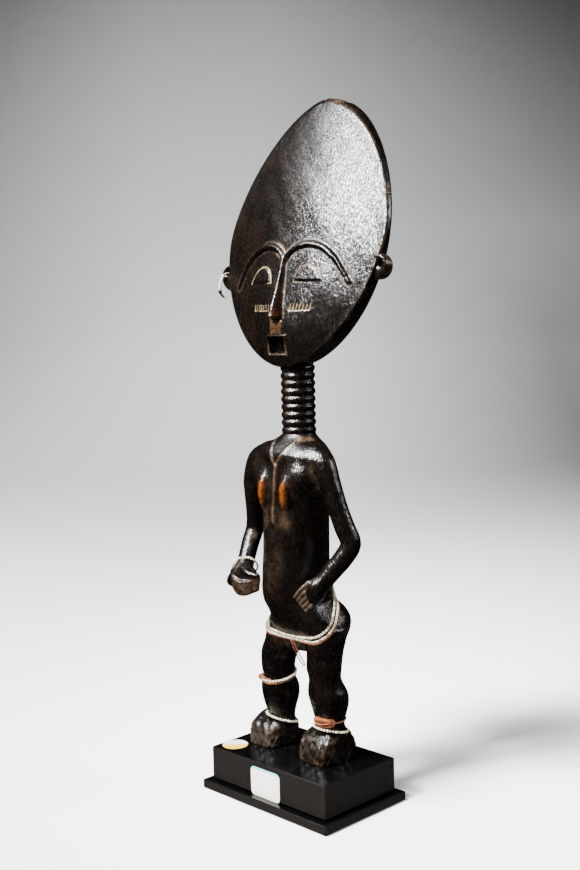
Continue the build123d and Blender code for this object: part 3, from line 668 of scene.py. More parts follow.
right_fingers = [[(-37.5 + 1.0 * i, -20.0 - 0.6 * i, 114.5 - 2.9 * i),
                  (-32.5 + 1.2 * i, -23.6, 111.0 - 2.7 * i),
                  (-25.0 + 0.8 * i, -24.0, 109.0 - 2.0 * i),
                  (-14.5 - 0.4 * i, -20.0, 112.0 - 2.0 * i)] for i in range(4)]
left_fingers = [[(27.5 + 1.4 * i, -17.6 + 1.3 * i, 116.2 - 2.2 * i),
                 (23.2 + 1.5 * i, -20.4 + 1.1 * i, 111.5 - 2.2 * i),
                 (18.2 + 1.5 * i, -20.6 + 0.8 * i, 106.0 - 1.9 * i)] for i in range(5)]


def add_right_hand(clay):
    """A cupped mitten beside the belly, its fingers curling in to touch it, with the thumb above."""
    clay.egg((-29.6, -17.4, 111.6), (10.6, 6.4, 8.4), 2.5)
    clay.limb([(-33.0, -16.0, 115.0, 5.6), (-39.0, -17.0, 109.5, 4.6), (-41.0, -17.6, 107.4, 3.8)], 2.0)
    clay.limb([(-28.0, -19.5, 117.0, 2.9), (-21.5, -22.0, 115.4, 2.5), (-15.5, -20.0, 114.0, 2.2)], 0.8)
    for finger in right_fingers:
        clay.limb([(*p, r) for p, r in zip(finger, (1.9, 1.8, 1.7, 1.7))], 0.4)


def add_left_hand(clay):
    """A flat hand on the belly, five fingers pointing down and in."""
    clay.limb([(30.5, -12.6, 113.0, 5.8), (28.0, -13.6, 107.5, 5.0), (25.5, -14.0, 103.6, 3.8)], 2.0)
    clay.egg((28.5, -13.8, 110.0), (6.0, 5.2, 6.8), 2.0)
    for finger in left_fingers:
        clay.limb([(*p, r) for p, r in zip(finger, (1.35, 1.3, 1.1))], 0.25)


def body_finish(clay, points, rise):
    """Dust, worn wood, ochre wood and chalk, from 0 to 1 at each point: hollows hold dust, sharp
    outer edges are worn, and the handled places are named one by one."""
    normal = unit(rise)
    hollow = np.clip(1 - clay.at(points + 2.5 * normal) / 2.5, 0, 1)
    edge = np.clip(1 + clay.at(points - 2.0 * normal) / 2.0, 0, 1)
    x, y, z = points.T
    dust = 0.75 * hollow + 0.04
    feet = np.clip((16 - z) / 6, 0, 1)
    toes = feet * np.clip((-5.5 - y) / 3, 0, 1)
    dust = dust + 0.35 * feet + 0.8 * toes
    worn = 0.3 * np.clip(edge * 2.2 - 0.45, 0, 1)
    for side in (-1, 1):
        worn = worn + 0.75 * near_path(points, chest_line(side), 0.85)
        worn = worn + 0.3 * near_path(points, [(side * 9.3, -21, 155), (side * 9.3, -20, 150)], 4.0)
    worn = worn + 0.65 * near_path(points, breastbone_line(), 0.9)
    ochre = np.zeros(len(points))
    for side in (-1, 1):
        ochre = ochre + 1.2 * near_path(points, [(side * 9.6, -22, 173), (side * 9.6, -22.5, 159)], 2.9)
    for finger in left_fingers:
        worn = worn + 0.55 * near_path(points, np.array(finger) + (-0.4, -1.3, 0), 0.55)
    for finger in right_fingers:
        worn = worn + 0.12 * near_path(points, np.array(finger) + (0, -1.8, 0), 0.6)
    ochre = ochre + 0.25 * near_path(points, [(-16.5, -20.5, 111), (-17.5, -20, 104)], 2.0)
    worn = worn + 0.6 * near_path(points, [(-42, 2, 138.5), (-34, -4, 135)], 2.2)
    worn = worn + 0.25 * near_path(points, [(-33, -22, 116), (-33, -18, 120.5)], 2.2)
    dust = dust + 0.5 * near_path(points, [(10, -10, 49.5), (20, -12, 48.6), (31, -8, 49.5)], 1.6)
    dust = dust + 0.35 * near_path(points, [(0, -21, 152), (2, -22, 128), (-4, -22, 110)], 6.0)
    dust = dust + 0.5 * near_path(points, [(-10, -9, 76), (14, -9, 76)], 7.0)
    ochre = ochre + 0.25 * near_path(points, [(-6, -8, 74), (12, -8, 74)], 5.0)
    neck = (z > 200) & (z < 246)
    dust = dust + 0.35 * neck * np.clip(np.sin(x * 0.5 + 1), 0, 1)
    collar = near_path(points, [(9, -6, 201), (12, -4, 200.5), (13.5, 2, 200.5)], 2.0)
    worn = worn + 0.7 * collar
    layers = np.stack([dust, worn, ochre, np.zeros(len(points))], 1)
    return layers.clip(0, 1)


clay = model_body()
body_points, body_faces = clay.skin()
body_layers = body_finish(clay, body_points, clay.slope(body_points))
add_piece("figure_body", body_points + (0, 0, SOLE), body_faces.tolist(), wood, "figure",
          "carved_wood", ("carved_figure",), finish=body_layers)


# ---------------------------------------------------------------- the head
head_length, widest_share, head_half_width = 164.0, 0.488, 67.0
chin_z = SOLE + 243.5
crown_z = chin_z + head_length
widest_z = chin_z + widest_share * head_length


def head_share(z):
    """How far z is from the widest level, -1 at the chin and 1 at the crown."""
    up = z - widest_z
    return np.where(up >= 0, up / (crown_z - widest_z), up / (widest_z - chin_z))


def head_width(z):
    """Half width of the egg: (1 - share to a power) to one over that power."""
    share = head_share(z)
    power = np.where(share > 0, 1.65, 1.77)
    return head_half_width * np.clip(1 - np.abs(share) ** power, 0, 1) ** (1 / power)


def rim_front(z):
    """Y of the rim's front edge: the head leans back as it rises."""
    return -9.3 + 0.271 * (z - chin_z)


def head_thickness(z):
    """Depth of the rim, least where the head is widest."""
    share = head_share(z)
    return 5 + np.where(share > 0, 7 * share**2, -12 * share)


def face_dome(across, z):
    """How far the face stands forward of the rim: less towards the sides, the chin and the crown."""
    share = head_share(z)
    power = np.where(share > 0, 2.2, 5.0)
    return 12 * (1 - np.abs(share) ** power) * np.clip(1 - across**2, 0, 1) ** 1.5


def near_line(x, up, line):
    """Distance on the face to a line of (x, up) points, eased into a curve."""
    line = np.array(line, float)
    numbered = np.hstack([np.arange(len(line))[:, None], line])
    fine = eased(numbered, np.linspace(0, len(line) - 1, len(line) * 6))
    nearest = np.full(np.shape(x), 1e9)
    for start, end in zip(fine, fine[1:]):
        run = end - start
        from_x, from_up = x - start[0], up - start[1]
        share = np.clip((from_x * run[0] + from_up * run[1]) / (run @ run + 1e-9), 0, 1)
        away = (from_x - share * run[0]) ** 2 + (from_up - share * run[1]) ** 2
        nearest = np.minimum(nearest, away)
    return np.sqrt(nearest)


def step_up(value, low, high):
    """0 below low, 1 above high, smooth between."""
    t = np.clip((value - low) / (high - low), 0, 1)
    return t * t * (3 - 2 * t)


# the face's lines and places: distance from the middle, then height over the chin
brow_line = [(0.6, 64.5), (3.5, 68.6), (9.0, 72.2), (18.0, 73.6), (28.0, 70.6), (37.0, 63.8),
             (43.5, 55.6), (47.4, 50.0)]
lid_line = [(9.8, 51.6), (10.8, 56.0), (14.2, 60.0), (19.2, 61.2), (24.4, 59.2), (28.2, 55.2),
            (30.6, 51.0)]
eye_line = [(9.6, 51.2), (20.0, 50.8), (30.6, 50.8)]
nose_root_up, nose_tip_up = 67.0, 28.6
mouth_up, mouth_half_width, mouth_half_height = 13.4, 6.6, 4.9
tick_low, tick_high, tick_start, tick_end, tick_count = 34.4, 38.0, 9.0, 23.4, 7


def relief_and_finish(x, up):
    """The carving's height on the face, with its dust, worn, ochre and chalk."""
    side = np.abs(x)
    brow = near_line(side, up, brow_line)
    thin = 1 - 0.45 * step_up(side, 32, 47)
    height = 2.3 * thin * (1 - step_up(brow, 0.6 * thin, 2.7 * thin))
    socket = step_up(75 - up, 0, 8) * step_up(up, 40, 56) * step_up(46 - side, 0, 9) * (up < 78)
    below_brow = up < np.interp(side, *zip(*brow_line))
    height = height - 0.8 * socket * below_brow * (1 - step_up(brow, 0, 12))
    lid = near_line(side, up, lid_line)
    under_lid = up < np.interp(side, *zip(*lid_line))
    within = under_lid & (up > 51.0) & (side > 9.8) & (side < 30.6)
    eye_base = near_line(side, up, eye_line)
    height = height + 0.8 * np.where(within, step_up(np.minimum(lid, eye_base * 0.6), 0.1, 1.2), 0)
    height = height - 0.4 * np.exp(-(lid / 0.45) ** 2) - 0.15 * np.exp(-(eye_base / 0.4) ** 2)

    along = np.clip((nose_root_up - up) / (nose_root_up - nose_tip_up), 0, 1)
    nose_width = 1.7 + 1.6 * along + 2.1 * along**2.4
    nose_height = 2.4 + 2.4 * along + 2.4 * along**2
    nose_end = step_up(up, nose_tip_up, nose_tip_up + 2.4) * step_up(nose_root_up + 2.5 - up, 0, 3)
    nose = nose_height * np.clip(1 - (side / nose_width) ** 1.7, 0, 1) ** 0.8 * nose_end
    height = np.maximum(height, nose)
    lip_patch = (1 - step_up(side, 4.6, 5.6)) * step_up(up, 19.6, 20.6) * (1 - step_up(up, 28.0, 29.4))
    height = height + 0.9 * lip_patch
    out_x, out_up = side - mouth_half_width, np.abs(up - mouth_up) - mouth_half_height
    mouth = np.maximum(out_x, out_up)
    lip = (1 - step_up(np.abs(mouth - 0.8), 0.3, 1.0))
    height = height + 0.9 * lip
    hole = 1 - step_up(mouth, -0.8, 0.1)
    height = height * (1 - hole) - 4.2 * hole

    pitch = (tick_end - tick_start) / (tick_count - 1)
    tick_number = np.clip(np.round((side - tick_start) / pitch), 0, tick_count - 1)
    lean = 0.25 * (up - tick_low)
    tick_side = np.abs(side - tick_start - tick_number * pitch - np.where(x < 0, 0, lean))
    tick = (np.exp(-(tick_side / 0.32) ** 2) * step_up(up, tick_low - 0.4, tick_low + 0.2)
            * (1 - step_up(up, tick_high, tick_high + 0.6)))
    tick_base = (np.exp(-((up - tick_low) / 0.3) ** 2) * step_up(side, tick_start - 0.6, tick_start)
                 * (1 - step_up(side, tick_end, tick_end + 0.6)))
    ticks = np.maximum(tick, tick_base)
    height = height - 0.5 * ticks

    dust = 0.07 + 0.4 * np.exp(-(np.maximum(brow - 2.8, 0) / 1.0) ** 2) * step_up(brow, 2.1, 2.8)
    dust = dust + 0.4 * np.exp(-((side - nose_width - 0.4) / 0.9) ** 2) * (along > 0.02) * (along < 1)
    lip_foot = (0.7 * lip * step_up(side, 5.8, 7.0) * step_up(mouth_up + 3 - up, 0, 4)
                + 0.5 * lip * step_up(mouth_up - up, 3.0, 4.6))
    brow_edge = np.exp(-((brow - 2.9) / 0.7) ** 2) * (side < 9) * (up > 66)
    worn = 0.25 * lip_patch + 0.5 * lip_foot + 0.6 * brow_edge
    worn = worn + 0.4 * np.exp(-((side - nose_width - 0.2) / 0.4) ** 2) * (along > 0.1) * (along < 1)
    tip = step_up(nose_tip_up + 11 - up, 0, 9) * step_up(nose, 1.5, 3.5)
    tip = tip * step_up(up, nose_tip_up, nose_tip_up + 1)
    ochre = 1.0 * tip * (1 - 0.9 * step_up(x, -1.0, 1.4)) + 0.4 * ticks + 0.3 * lip_patch
    chalk = np.exp(-(lid / 0.34) ** 2) * np.where(x < 0, 0.7, 0.16)
    chalk = chalk + 0.4 * np.exp(-(eye_base / 0.36) ** 2) * step_up(15 - side, 0, 3)
    ochre = ochre + 0.5 * np.exp(-((lid - 0.3) / 0.5) ** 2) * (x > 0) * (up > 57)
    chalk = chalk + 0.4 * ticks
    dust, worn, chalk = (layer * (1 - hole) for layer in (dust, worn, chalk))
    return height, np.stack([dust, worn, ochre, chalk], -1)


def edge_drop(share):
    """Fall of a rounded edge: 1 at the edge itself, 0 at its full width and beyond."""
    return 1 - np.sqrt(np.clip(1 - (1 - np.minimum(share, 1.0)) ** 2, 0, 1))


def model_head():
    """A skin in rays from a middle point of the face: out over the face to the rim, round the rim's
    edge, and back in over the back. Rays are as long as the egg is in their direction."""
    rays, fine_rows, far_rows, rim_rows, back_rows = 560, 96, 22, 7, 20
    middle_z = chin_z + 45.0
    level = widest_z + np.sin(np.linspace(-math.pi / 2, math.pi / 2, 1500)) * np.where(
        np.linspace(-1, 1, 1500) > 0, crown_z - widest_z, widest_z - chin_z)
    outline_angle = np.arctan2(head_width(level), level - middle_z)
    outline_reach = np.hypot(head_width(level), level - middle_z)
    order = np.argsort(outline_angle)
    angle = np.arange(rays) * TURN / rays
    folded = np.minimum(angle, TURN - angle)
    reach = np.interp(folded, outline_angle[order], outline_reach[order])

    inner = np.minimum(48.0, 0.86 * reach)
    rows = [inner * share for share in np.linspace(0.006, 1, fine_rows)]
    rows += [inner + (reach - inner) * share for share in np.linspace(0, 1, far_rows + 1)[1:] ** 0.9]
    rings, layers = [], []
    for row in rows:
        x, z = row * np.sin(angle), middle_z + row * np.cos(angle)
        across = np.abs(x) / np.maximum(head_width(z), 0.5)
        height, layer = relief_and_finish(x, z - chin_z)
        from_rim = reach - row
        round_off = 0.9 * edge_drop(from_rim)
        ripple = 0.12 * np.sin(x * 0.31 + 1.3) * np.sin(z * 0.23) + 0.1 * np.sin(x * 0.13 + z * 0.17)
        fade = step_up(from_rim, 0, 6)
        y = rim_front(z) - face_dome(np.minimum(across, 1), z) - height * fade + round_off - ripple * fade
        rings.append(np.stack([x, y, z], 1))
        edge = np.exp(-((from_rim - 0.3) / 0.9) ** 2)
        uneven = 0.5 + 0.3 * np.sin(7 * angle + 1) + 0.3 * np.sin(17 * angle)
        # worn layer on the rim edge: a little real wear all round, plus a painted highlight, 0.3 stronger,
        # along the upper rim on the figure's left (angle about 0.75)
        layer[:, 1] = layer[:, 1] + edge * uneven * (0.04 + 0.3 * np.exp(-((angle - 0.75) / 0.7) ** 2))
        layers.append(layer)
    rim_x, rim_z = reach * np.sin(angle), middle_z + reach * np.cos(angle)
    for share in (np.arange(rim_rows) + 1) / (rim_rows + 1):
        front, thick = rim_front(rim_z) + 0.9, head_thickness(rim_z) - 1.6
        bulge = 0.25 * math.sin(math.pi * share)
        rings.append(np.stack([rim_x + bulge * np.sin(angle), front + thick * share,
                               rim_z + bulge * np.cos(angle) * 0.5], 1))
        layers.append(np.tile([0.12, 0.0, 0.0, 0.0], (rays, 1)))
    for share in np.linspace(1, 0.01, back_rows) ** 0.9:
        row = reach * share
        x, z = row * np.sin(angle), middle_z + row * np.cos(angle)
        across = np.minimum(np.abs(x) / np.maximum(head_width(z), 0.5), 1)
        from_rim = reach - row
        bulge = 4 * (1 - across**2) * (1 - np.abs(head_share(z)) ** 3)
        round_off = 0.7 * edge_drop(from_rim / 1.5)
        chamfer_in = 0.15 * (share == 1)
        x, z = x * (1 - chamfer_in / reach), middle_z + (z - middle_z) * (1 - chamfer_in / reach)
        rings.append(np.stack([x, rim_front(z) + head_thickness(z) + bulge - round_off, z], 1))
        layers.append(np.tile([0.14, 0.0, 0.0, 0.0], (rays, 1)))
    rings = np.array(rings)
    x, z = rings[..., 0], rings[..., 2]
    crown_notch = np.exp(-((x + 1.4) / 0.9) ** 2) * step_up(z, crown_z - 5, crown_z - 1)
    crown_chips = (step_up(x, 7, 9) - step_up(x, 20, 23)) * step_up(z, crown_z - 4, crown_z - 1.5)
    rings[..., 2] -= 1.6 * crown_notch + 0.7 * crown_chips
    verts, faces = shell(rings)
    layers = np.array(layers).reshape(-1, 4)
    layers[:, 1] += 0.5 * crown_chips.ravel()
    layers = np.vstack([layers, layers[0], layers[-1]])
    return verts, faces, layers.clip(0, 1)


head_points, head_faces, head_layers = model_head()
add_piece("figure_head", head_points, head_faces, wood, "figure", "carved_wood", finish=head_layers)


def model_ear(side, hole_middle):
    """A thick round lobe with a hole through it: a rounded section carried from the hole's edge to
    the lobe's edge and round."""
    lobe_radius, hole_radius, lobe_thickness = 8.0 - 0.4 * side, 2.0, 7.0
    lobe = np.array([side * 63.0, 0.0, chin_z + 57.0 + 1.2 * side])
    spots = 72
    turn = np.arange(spots) * TURN / spots
    section = np.arange(28) * TURN / 28
    squared_out = np.sign(np.cos(section)) * np.abs(np.cos(section)) ** (2 / 3.2)
    squared_up = np.sign(np.sin(section)) * np.abs(np.sin(section)) ** (2 / 3.2)
    way = np.stack([np.cos(turn), np.zeros(spots), np.sin(turn)], 1)
    inner = hole_middle + way * hole_radius
    outer = lobe + way * lobe_radius
    outer[:, 1] = hole_middle[1]
    share = (squared_out + 1) / 2
    rings = inner[None] * (1 - share)[:, None, None] + outer[None] * share[:, None, None]
    rings[..., 1] += squared_up[:, None] * lobe_thickness / 2
    verts, faces = shell(rings[:, ::-1], looped=True)
    worn = np.repeat(np.exp(-((share - 1) / 0.12) ** 2) * 0.12, spots)
    bare = np.zeros(len(verts))
    layers = np.stack([np.full(len(verts), 0.12), worn, bare, bare], 1)
    return verts, faces, layers


ear_joint = next(j for j in frame["joints"] if j["name"] == "ear_loop_swing")
ear_hole = np.array(ear_joint["pos_m"]) / MM
for side_name, side in (("right", -1), ("left", 1)):
    middle = ear_hole * (-side, 1, 1)
    ear_points, ear_faces, ear_layers = model_ear(side, middle)
    add_piece("ear_lobe_" + side_name, ear_points, ear_faces, wood, "figure", "carved_wood",
              finish=ear_layers)


# ---------------------------------------------------------------- strings tied round the wood
def taut_round(middle, normal, stand_off, farthest=34.0, spots=200):
    """A loop pulled tight round the wood in the plane through middle: the wood's outline there, its
    hollows bridged by straight runs, then moved out by stand_off. Heights are above the soles."""
    middle, normal = np.array(middle, float), unit(np.array(normal, float))
    first = unit(np.cross((0, 1, 0), normal))
    second = np.cross(normal, first)
    turn = np.arange(spots) * TURN / spots
    rays = np.cos(turn)[:, None] * first + np.sin(turn)[:, None] * second
    reach = np.arange(2.0, farthest, 0.2)
    values = clay.at((middle + rays[:, None] * reach[None, :, None]).reshape(-1, 3)).reshape(spots, -1)
    outside = values > 0
    radius = np.where(outside.any(1), reach[outside.argmax(1)], farthest) - 0.1
    ways = np.stack([np.cos(turn), np.sin(turn)], 1)
    flat = radius[:, None] * ways
    held = np.unique((flat @ ways.T).argmax(0))
    loop = resampled(np.hstack([flat[held], np.zeros((len(held), 1))]), 240, True)
    soft = sum(np.roll(loop, shift, 0) for shift in range(-3, 4)) / 7
    run = tangents(soft, True)
    out = np.stack([run[:, 1], -run[:, 0]], 1)
    soft = soft[:, :2] + out * stand_off
    return middle + soft[:, :1] * first + soft[:, 1:] * second


bead_radius, bead_length, strand_pitch = 0.82, 1.45, 2.1
bead_spacing = 1.27  # middle to middle, in bead lengths


def strand(name, loop, body, replaced):
    """Cream seed beads side by side all the way round a loop, on heights above the soles."""
    count = int(length_of(loop, True) / (bead_length * bead_spacing))
    spots = resampled(loop, count, True)
    verts, faces, tint = seed_beads(spots, tangents(spots, True), bead_radius, bead_length)
    add_piece(name, verts + (0, 0, SOLE), faces, cream_glass, body, "cream_beads", replaced, tint=tint)


def ochre_string(name, parts, replaced):
    """Parts of ochre thread as one piece on the figure, on heights above the soles."""
    verts, faces = gathered(parts)
    add_piece(name, verts + (0, 0, SOLE), faces, ochre_cotton, "figure", "ochre_thread", (replaced,))


waist_middle, waist_rise = np.array([0.0, 6.0, 92.3]), 0.95
waist_normal = unit(np.array([0.0, -waist_rise, 1.0]))
for strand_name, shift in (("waist_beads_upper", 0.5), ("waist_beads_lower", -0.5)):
    loop = taut_round(waist_middle + waist_normal * shift * strand_pitch, waist_normal, bead_radius)
    strand(strand_name + "_strand", loop, "figure", (strand_name,))
thread_loop = taut_round(waist_middle - waist_normal * (strand_pitch / 2 + 1.25), waist_normal, 0.45)
ochre_string("waist_thread_twist", [spun(resampled(thread_loop, 420, True), 0.5, True)], "waist_thread")

knee_middle, knee_normal = np.array([-20.8, 2.2, 46.5]), unit(np.array([0.0, -0.23, 1.0]))
knee_loop = taut_round(knee_middle, knee_normal, bead_radius, 18.0)
strand("knee_beads_strand", knee_loop, "figure", ("knee_beads_right",))
knot_middle = np.array([-28.9, -6.0, 45.0])


def knot(middle, size, radius):
    """A small overhand knot: a curve twice round a ring while it winds three times through it."""
    t = np.arange(120) * TURN / 120
    curve = np.stack([(2 + np.cos(3 * t)) * np.cos(2 * t), (2 + np.cos(3 * t)) * np.sin(2 * t),
                      np.sin(3 * t)], 1) * size / 3
    return spun(curve @ np.array([(0.7, 0, 0.7), (0, 1, 0), (-0.7, 0, 0.7)]) + middle, radius, True)


def wound_bundle(middle, radius, heights, degrees, strands, thread, phase=0.0):
    """Loose turns of thread on the front of a limb that crowd together and part again: circles
    whose height and standing-off wander."""
    parts = []
    turn_from, turn_to = math.radians(degrees[0]), math.radians(degrees[1])
    for number in range(strands):
        share = number / (strands - 1)
        turn = np.linspace(turn_from, turn_to, 60)
        swell = np.sin((turn - turn_from) / (turn_to - turn_from) * math.pi)
        height = heights[0] + (heights[1] - heights[0]) * (0.5 + (share - 0.5) * (0.35 + 0.65 * swell))
        height = height + 0.35 * np.sin(3.1 * turn + 2.4 * number + phase)
        away = radius + thread * (1 + 1.1 * (number % 2)) + 0.25 * np.sin(5 * turn + 1.7 * number) * swell
        path = np.stack([middle[0] + away * np.cos(turn), middle[1] + away * np.sin(turn), height], 1)
        parts.append(spun(path, thread, False, pitch=1.8))
    return parts


knee_thread_loop = taut_round(knee_middle - knee_normal * 1.5, knee_normal, 0.5, 18.0)
knee_parts = [spun(resampled(knee_thread_loop, 240, True), 0.5, True), knot(knot_middle, 1.9, 0.62),
              knot(knot_middle + (1.4, -1.0, -0.6), 1.5, 0.55)]
knee_parts += wound_bundle((-20.8, 2.2), 10.5, (43.6, 45.6), (228, 285), 4, 0.5)
ochre_string("knee_thread_twist", knee_parts, "knee_thread_right")

ankle_loop = taut_round((21.6, 4.5, 25.5), (0, 0, 1), 0.5, 16.0)
ankle_parts = [spun(resampled(ankle_loop, 220, True), 0.5, True)]
ankle_parts += wound_bundle((21.5, 4.5), 9.3, (22.6, 29.0), (-122, -30), 7, 0.55)
ankle_parts += wound_bundle((21.5, 4.5), 10.1, (23.4, 28.0), (-108, -42), 4, 0.5, 1.4)
ochre_string("ankle_thread_bundle", ankle_parts, "ankle_thread_left")


# ---------------------------------------------------------------- loose rings of beads
ring_band_radius = 0.9


def ring_loop(joint_name, node_name):
    """The circle that a loose ring of beads lies on: its joint's axis and place, and its CAD size."""
    joint = next(j for j in frame["joints"] if j["name"] == joint_name)
    axis = unit(np.array(joint["axis"], float))
    middle = np.array(joint["pos_m"]) / MM
    low, high = box_mm(node_name)
    reach = np.sqrt(np.clip(1 - axis**2, 1e-6, 1))
    half = (high - low) / 2 - ring_band_radius
    radius = half.max() / reach[half.argmax()]
    first = unit(np.cross(axis, (0.3, 0.5, 0.8)))
    turn = np.arange(180) * TURN / 180
    second = np.cross(axis, first)
    return middle + radius * (np.cos(turn)[:, None] * first + np.sin(turn)[:, None] * second)


for ring_body, joint_name, node_name in (
        ("wrist_ring", "wrist_beads_turn", "wrist_beads_right"),
        ("ankle_ring_right", "ankle_beads_right_turn", "ankle_beads_right"),
        ("ankle_ring_left", "ankle_beads_left_turn", "ankle_beads_left")):
    strand(node_name + "_strand", ring_loop(joint_name, node_name) - (0, 0, SOLE), ring_body, (node_name,))


# ---------------------------------------------------------------- hanging threads
def cord_curve(name, points, radius, material, body, replaced):
    """A thread along one smooth spline whose control points are its route."""
    curve = bpy.data.curves.new(name, "CURVE")
    curve.dimensions = "3D"
    spline = curve.splines.new("NURBS")
    spline.points.add(len(points) - 1)
    for spot, place in zip(spline.points, points):
        spot.co = (*(np.array(place) * MM), 1)
    spline.order_u = 3
    spline.use_endpoint_u = True
    curve.resolution_u = 12
    curve.bevel_depth = radius * MM
    curve.bevel_resolution = 3
    curve.use_fill_caps = True
    curve.materials.append(material)
    piece = bpy.data.objects.new(name, curve)
    bpy.context.scene.collection.objects.link(piece)
    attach(piece, body)
    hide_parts(*replaced)
    return piece


thread_radius = 0.4
ear_route = [
    (-1.0, 0.9, -0.4), (-0.9, -5.0, -0.4), (-2.6, -6.2, -5.2), (-5.2, -5.6, -10.0), (-7.2, -3.0, -14.4),
    (-5.6, 0.8, -17.4), (-1.8, 3.8, -18.6), (2.4, 6.0, -16.4), (4.2, 7.2, -11.2), (3.2, 7.2, -5.4),
    (1.0, 6.0, -0.8), (0.8, 1.6, 0.6),
]
ear_points = [ear_hole + np.array(point) for point in ear_route]
ear_thread = cord_curve("ear_thread_line", ear_points, thread_radius, grey_cotton, "ear_loop",
                        ("ear_thread",))
loin_route = [
    (3.9, -10.4, 75.0), (3.7, -8.9, 71.0), (3.8, -6.2, 66.0), (3.5, -3.6, 61.4), (4.0, -1.9, 58.2),
    (5.4, -1.3, 56.8), (6.8, -2.0, 58.3), (7.1, -3.8, 61.2), (6.6, -6.2, 65.8), (6.0, -8.6, 70.8),
    (5.7, -10.2, 74.8),
]
loin_points = [np.array(point) + (0, 0, SOLE) for point in loin_route]
loin_cord = cord_curve("loin_cord_line", loin_points, thread_radius, ochre_cotton, "loin_cord",
                       ("loin_cord",))

nodes = frame["nodes"]


# ---------------------------------------------------------------- finishes of the CAD nodes that show
label_low, label_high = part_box("lot_label")
sticker_low, sticker_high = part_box("round_sticker")
sticker_middle = (sticker_low + sticker_high) / 2
label_paper = gummed_paper("label_paper", "#d8d6d0", "#6fb0c2", label_high.z - 0.0016, (0, 0, 1))
facing = Vector((-0.71, 0.7, 0))
sticker_paper = gummed_paper("sticker_paper", "#b89300", "#aebdc9", sticker_middle.dot(facing),
                             tuple(facing))
for node_name, material in (("base_block", lacquer), ("base_plinth", lacquer), ("base_spacer", lacquer),
                            ("base_felt", felt), ("base_screws", steel), ("mount_pin_right", steel),
                            ("mount_pin_left", steel), ("lot_label", label_paper),
                            ("round_sticker", sticker_paper), ("ear_beads_white", cream_glass),
                            ("ear_bead_black", black_glass), ("ear_beads_dark", black_glass)):
    cad_mesh = nodes[node_name].data
    cad_mesh.materials.clear()
    cad_mesh.materials.append(material)


# ---------------------------------------------------------------- floor, backdrop and light
away = unit(np.array([-0.71, 0.70, 0.0]))
right = np.array([0.70, 0.71, 0.0])


def paper_with_painted_shade():
    """Matt seamless paper, pale round the object, with painted shade: its colour turns greyer with height
    and, off the floor, with distance to either side, and a painted shadow darkens the floor's far right
    corner."""
    material, tree = new_material("seamless_paper_painted_shade")
    place = node(tree, "TexCoord").outputs["Object"]
    height = node(tree, "SeparateXYZ", {0: place}).outputs["Z"]
    across = node(tree, "VectorMath", {0: place, 1: tuple(right)},
                  operation="DOT_PRODUCT").outputs["Value"]
    off_middle = node(tree, "Math", {0: across, 1: -0.2}, operation="SUBTRACT").outputs[0]
    off_middle = node(tree, "Math", {0: off_middle}, operation="ABSOLUTE").outputs[0]
    # painted shade: the paper darkens with height and with distance to either side, standing in for the
    # light's falloff
    upward = node(tree, "MapRange", {"Value": height, "From Min": 0.2, "From Max": 1.2,
                                     "To Max": 0.74}).outputs[0]
    sideways = node(tree, "MapRange", {"Value": off_middle, "From Min": 0.15, "From Max": 1.2,
                                       "To Max": 0.34}).outputs[0]
    grey = node(tree, "Math", {0: upward, 1: 1.0, 2: sideways}, operation="MULTIPLY_ADD",
                use_clamp=True).outputs[0]
    lifted = node(tree, "MapRange", {"Value": height, "From Min": 0.0, "From Max": 0.25}).outputs[0]
    grey = node(tree, "Math", {0: grey, 1: lifted}, operation="MULTIPLY").outputs[0]
    # painted shadow: the floor's far right corner is darkened
    depth = node(tree, "VectorMath", {0: place, 1: tuple(away)}, operation="DOT_PRODUCT").outputs["Value"]
    behind = node(tree, "MapRange", {"Value": depth, "From Min": -0.1, "From Max": 0.4}).outputs[0]
    beside = node(tree, "MapRange", {"Value": across, "From Min": 0.05, "From Max": 0.6,
                                     "To Max": 0.8}).outputs[0]
    corner = node(tree, "Math", {0: behind, 1: beside}, operation="MULTIPLY").outputs[0]
    floor_only = node(tree, "MapRange", {"Value": height, "From Min": 0.0, "From Max": 0.5,
                                         "To Min": 1.0, "To Max": 0.0}).outputs[0]
    grey = node(tree, "Math", {0: corner, 1: floor_only, 2: grey}, operation="MULTIPLY_ADD").outputs[0]
    tone = node(tree, "Mix", {0: grey, 6: colour("#ededed"), 7: colour("#3c3c3e")},
                data_type="RGBA").outputs[2]
    finish_material(tree, {"Base Color": tone, "Roughness": 0.9})
    return material


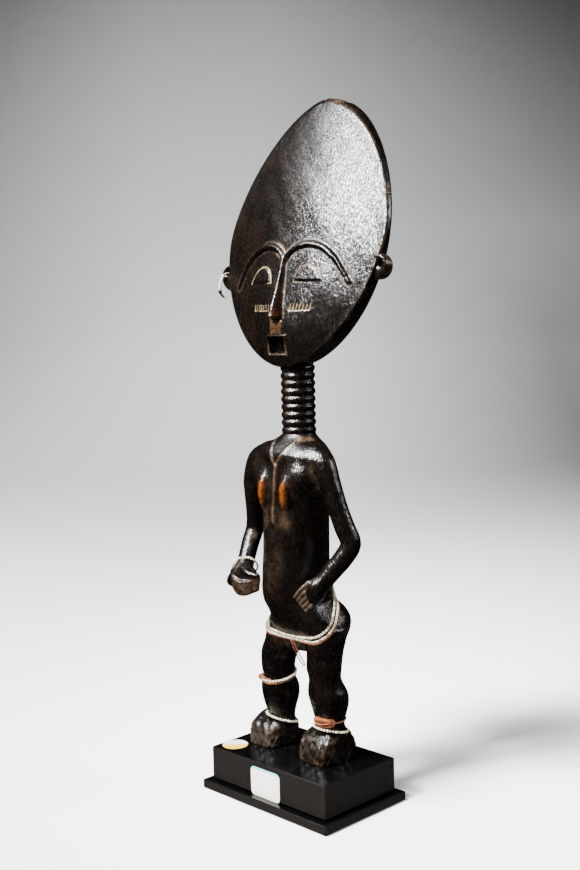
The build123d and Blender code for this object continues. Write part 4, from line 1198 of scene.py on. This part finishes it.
def paper_sweep():
    """A level floor that bends up in a quarter circle into an upright backdrop. Polished surfaces
    don't mirror it."""
    flat, bend, tall, wide, near_edge = 1.5, 0.9, 2.6, 5.0, -2.2
    at = np.linspace(0, 1, 60) * (flat + bend * math.pi / 2 + tall)
    turn = np.clip((at - flat) / bend, 0, math.pi / 2)
    out = np.minimum(at, flat) + bend * np.sin(turn)
    height = bend * (1 - np.cos(turn)) + np.maximum(at - flat - bend * math.pi / 2, 0)
    out = np.concatenate([[near_edge], out])
    height = np.concatenate([[0], height])
    across = np.linspace(-wide, wide, 3)
    grid = (out[:, None, None] * away + height[:, None, None] * np.array([0, 0, 1.0])
            + across[None, :, None] * right)
    rows, columns = grid.shape[:2]
    first = (np.arange(rows - 1)[:, None] * columns + np.arange(columns - 1)[None, :]).ravel()
    faces = np.stack([first, first + 1, first + columns + 1, first + columns], 1)
    mesh = bpy.data.meshes.new("floor")
    mesh.from_pydata(grid.reshape(-1, 3).tolist(), [], faces.tolist())
    mesh.polygons.foreach_set("use_smooth", np.ones(len(mesh.polygons), bool))
    mesh.materials.append(paper_with_painted_shade())
    floor = bpy.data.objects.new("floor", mesh)
    floor.visible_glossy = False
    bpy.context.scene.collection.objects.link(floor)


def light_up():
    """Two soft boxes in front and above, a weak fill from behind at the right, a wash on the floor at
    the left and one on the backdrop, and a faint even sky."""
    # name, place, aimed at, size across in metres, watts, spread in degrees
    lights = (("key_softbox", (-0.22, -0.7, 1.7), (0, 0, 0.2), 0.34, 48.0, 100),
              ("front_softbox", (-0.2, -0.97, 1.14), (0.0, 0, 0.4), 0.3, 7.5, 40),
              ("rear_fill", (1.3, 1.0, 1.1), (0, 0, 0.22), 0.4, 4.0, 80),
              ("floor_wash", (-0.9, -0.6, 1.5), (-0.5, -0.1, 0), 0.8, 9.0, 110),
              ("backdrop_wash", (-1.0, 0.7, 1.35), (-1.75, 1.55, 0.2), 0.5, 9.0, 110))
    for name, place, aim, size, power, spread in lights:
        light = bpy.data.objects.new(name, bpy.data.lights.new(name, "AREA"))
        light.data.size = size
        light.data.energy = power
        light.data.spread = math.radians(spread)
        light.location = place
        light.rotation_euler = (Vector(aim) - Vector(place)).to_track_quat("-Z", "Y").to_euler()
        bpy.context.scene.collection.objects.link(light)
    world = bpy.data.worlds.new("soft_sky")
    world.use_nodes = True
    world.node_tree.nodes["Background"].inputs["Color"].default_value = colour("#c9ccd0")
    world.node_tree.nodes["Background"].inputs["Strength"].default_value = 0.03
    bpy.context.scene.world = world


paper_sweep()
light_up()
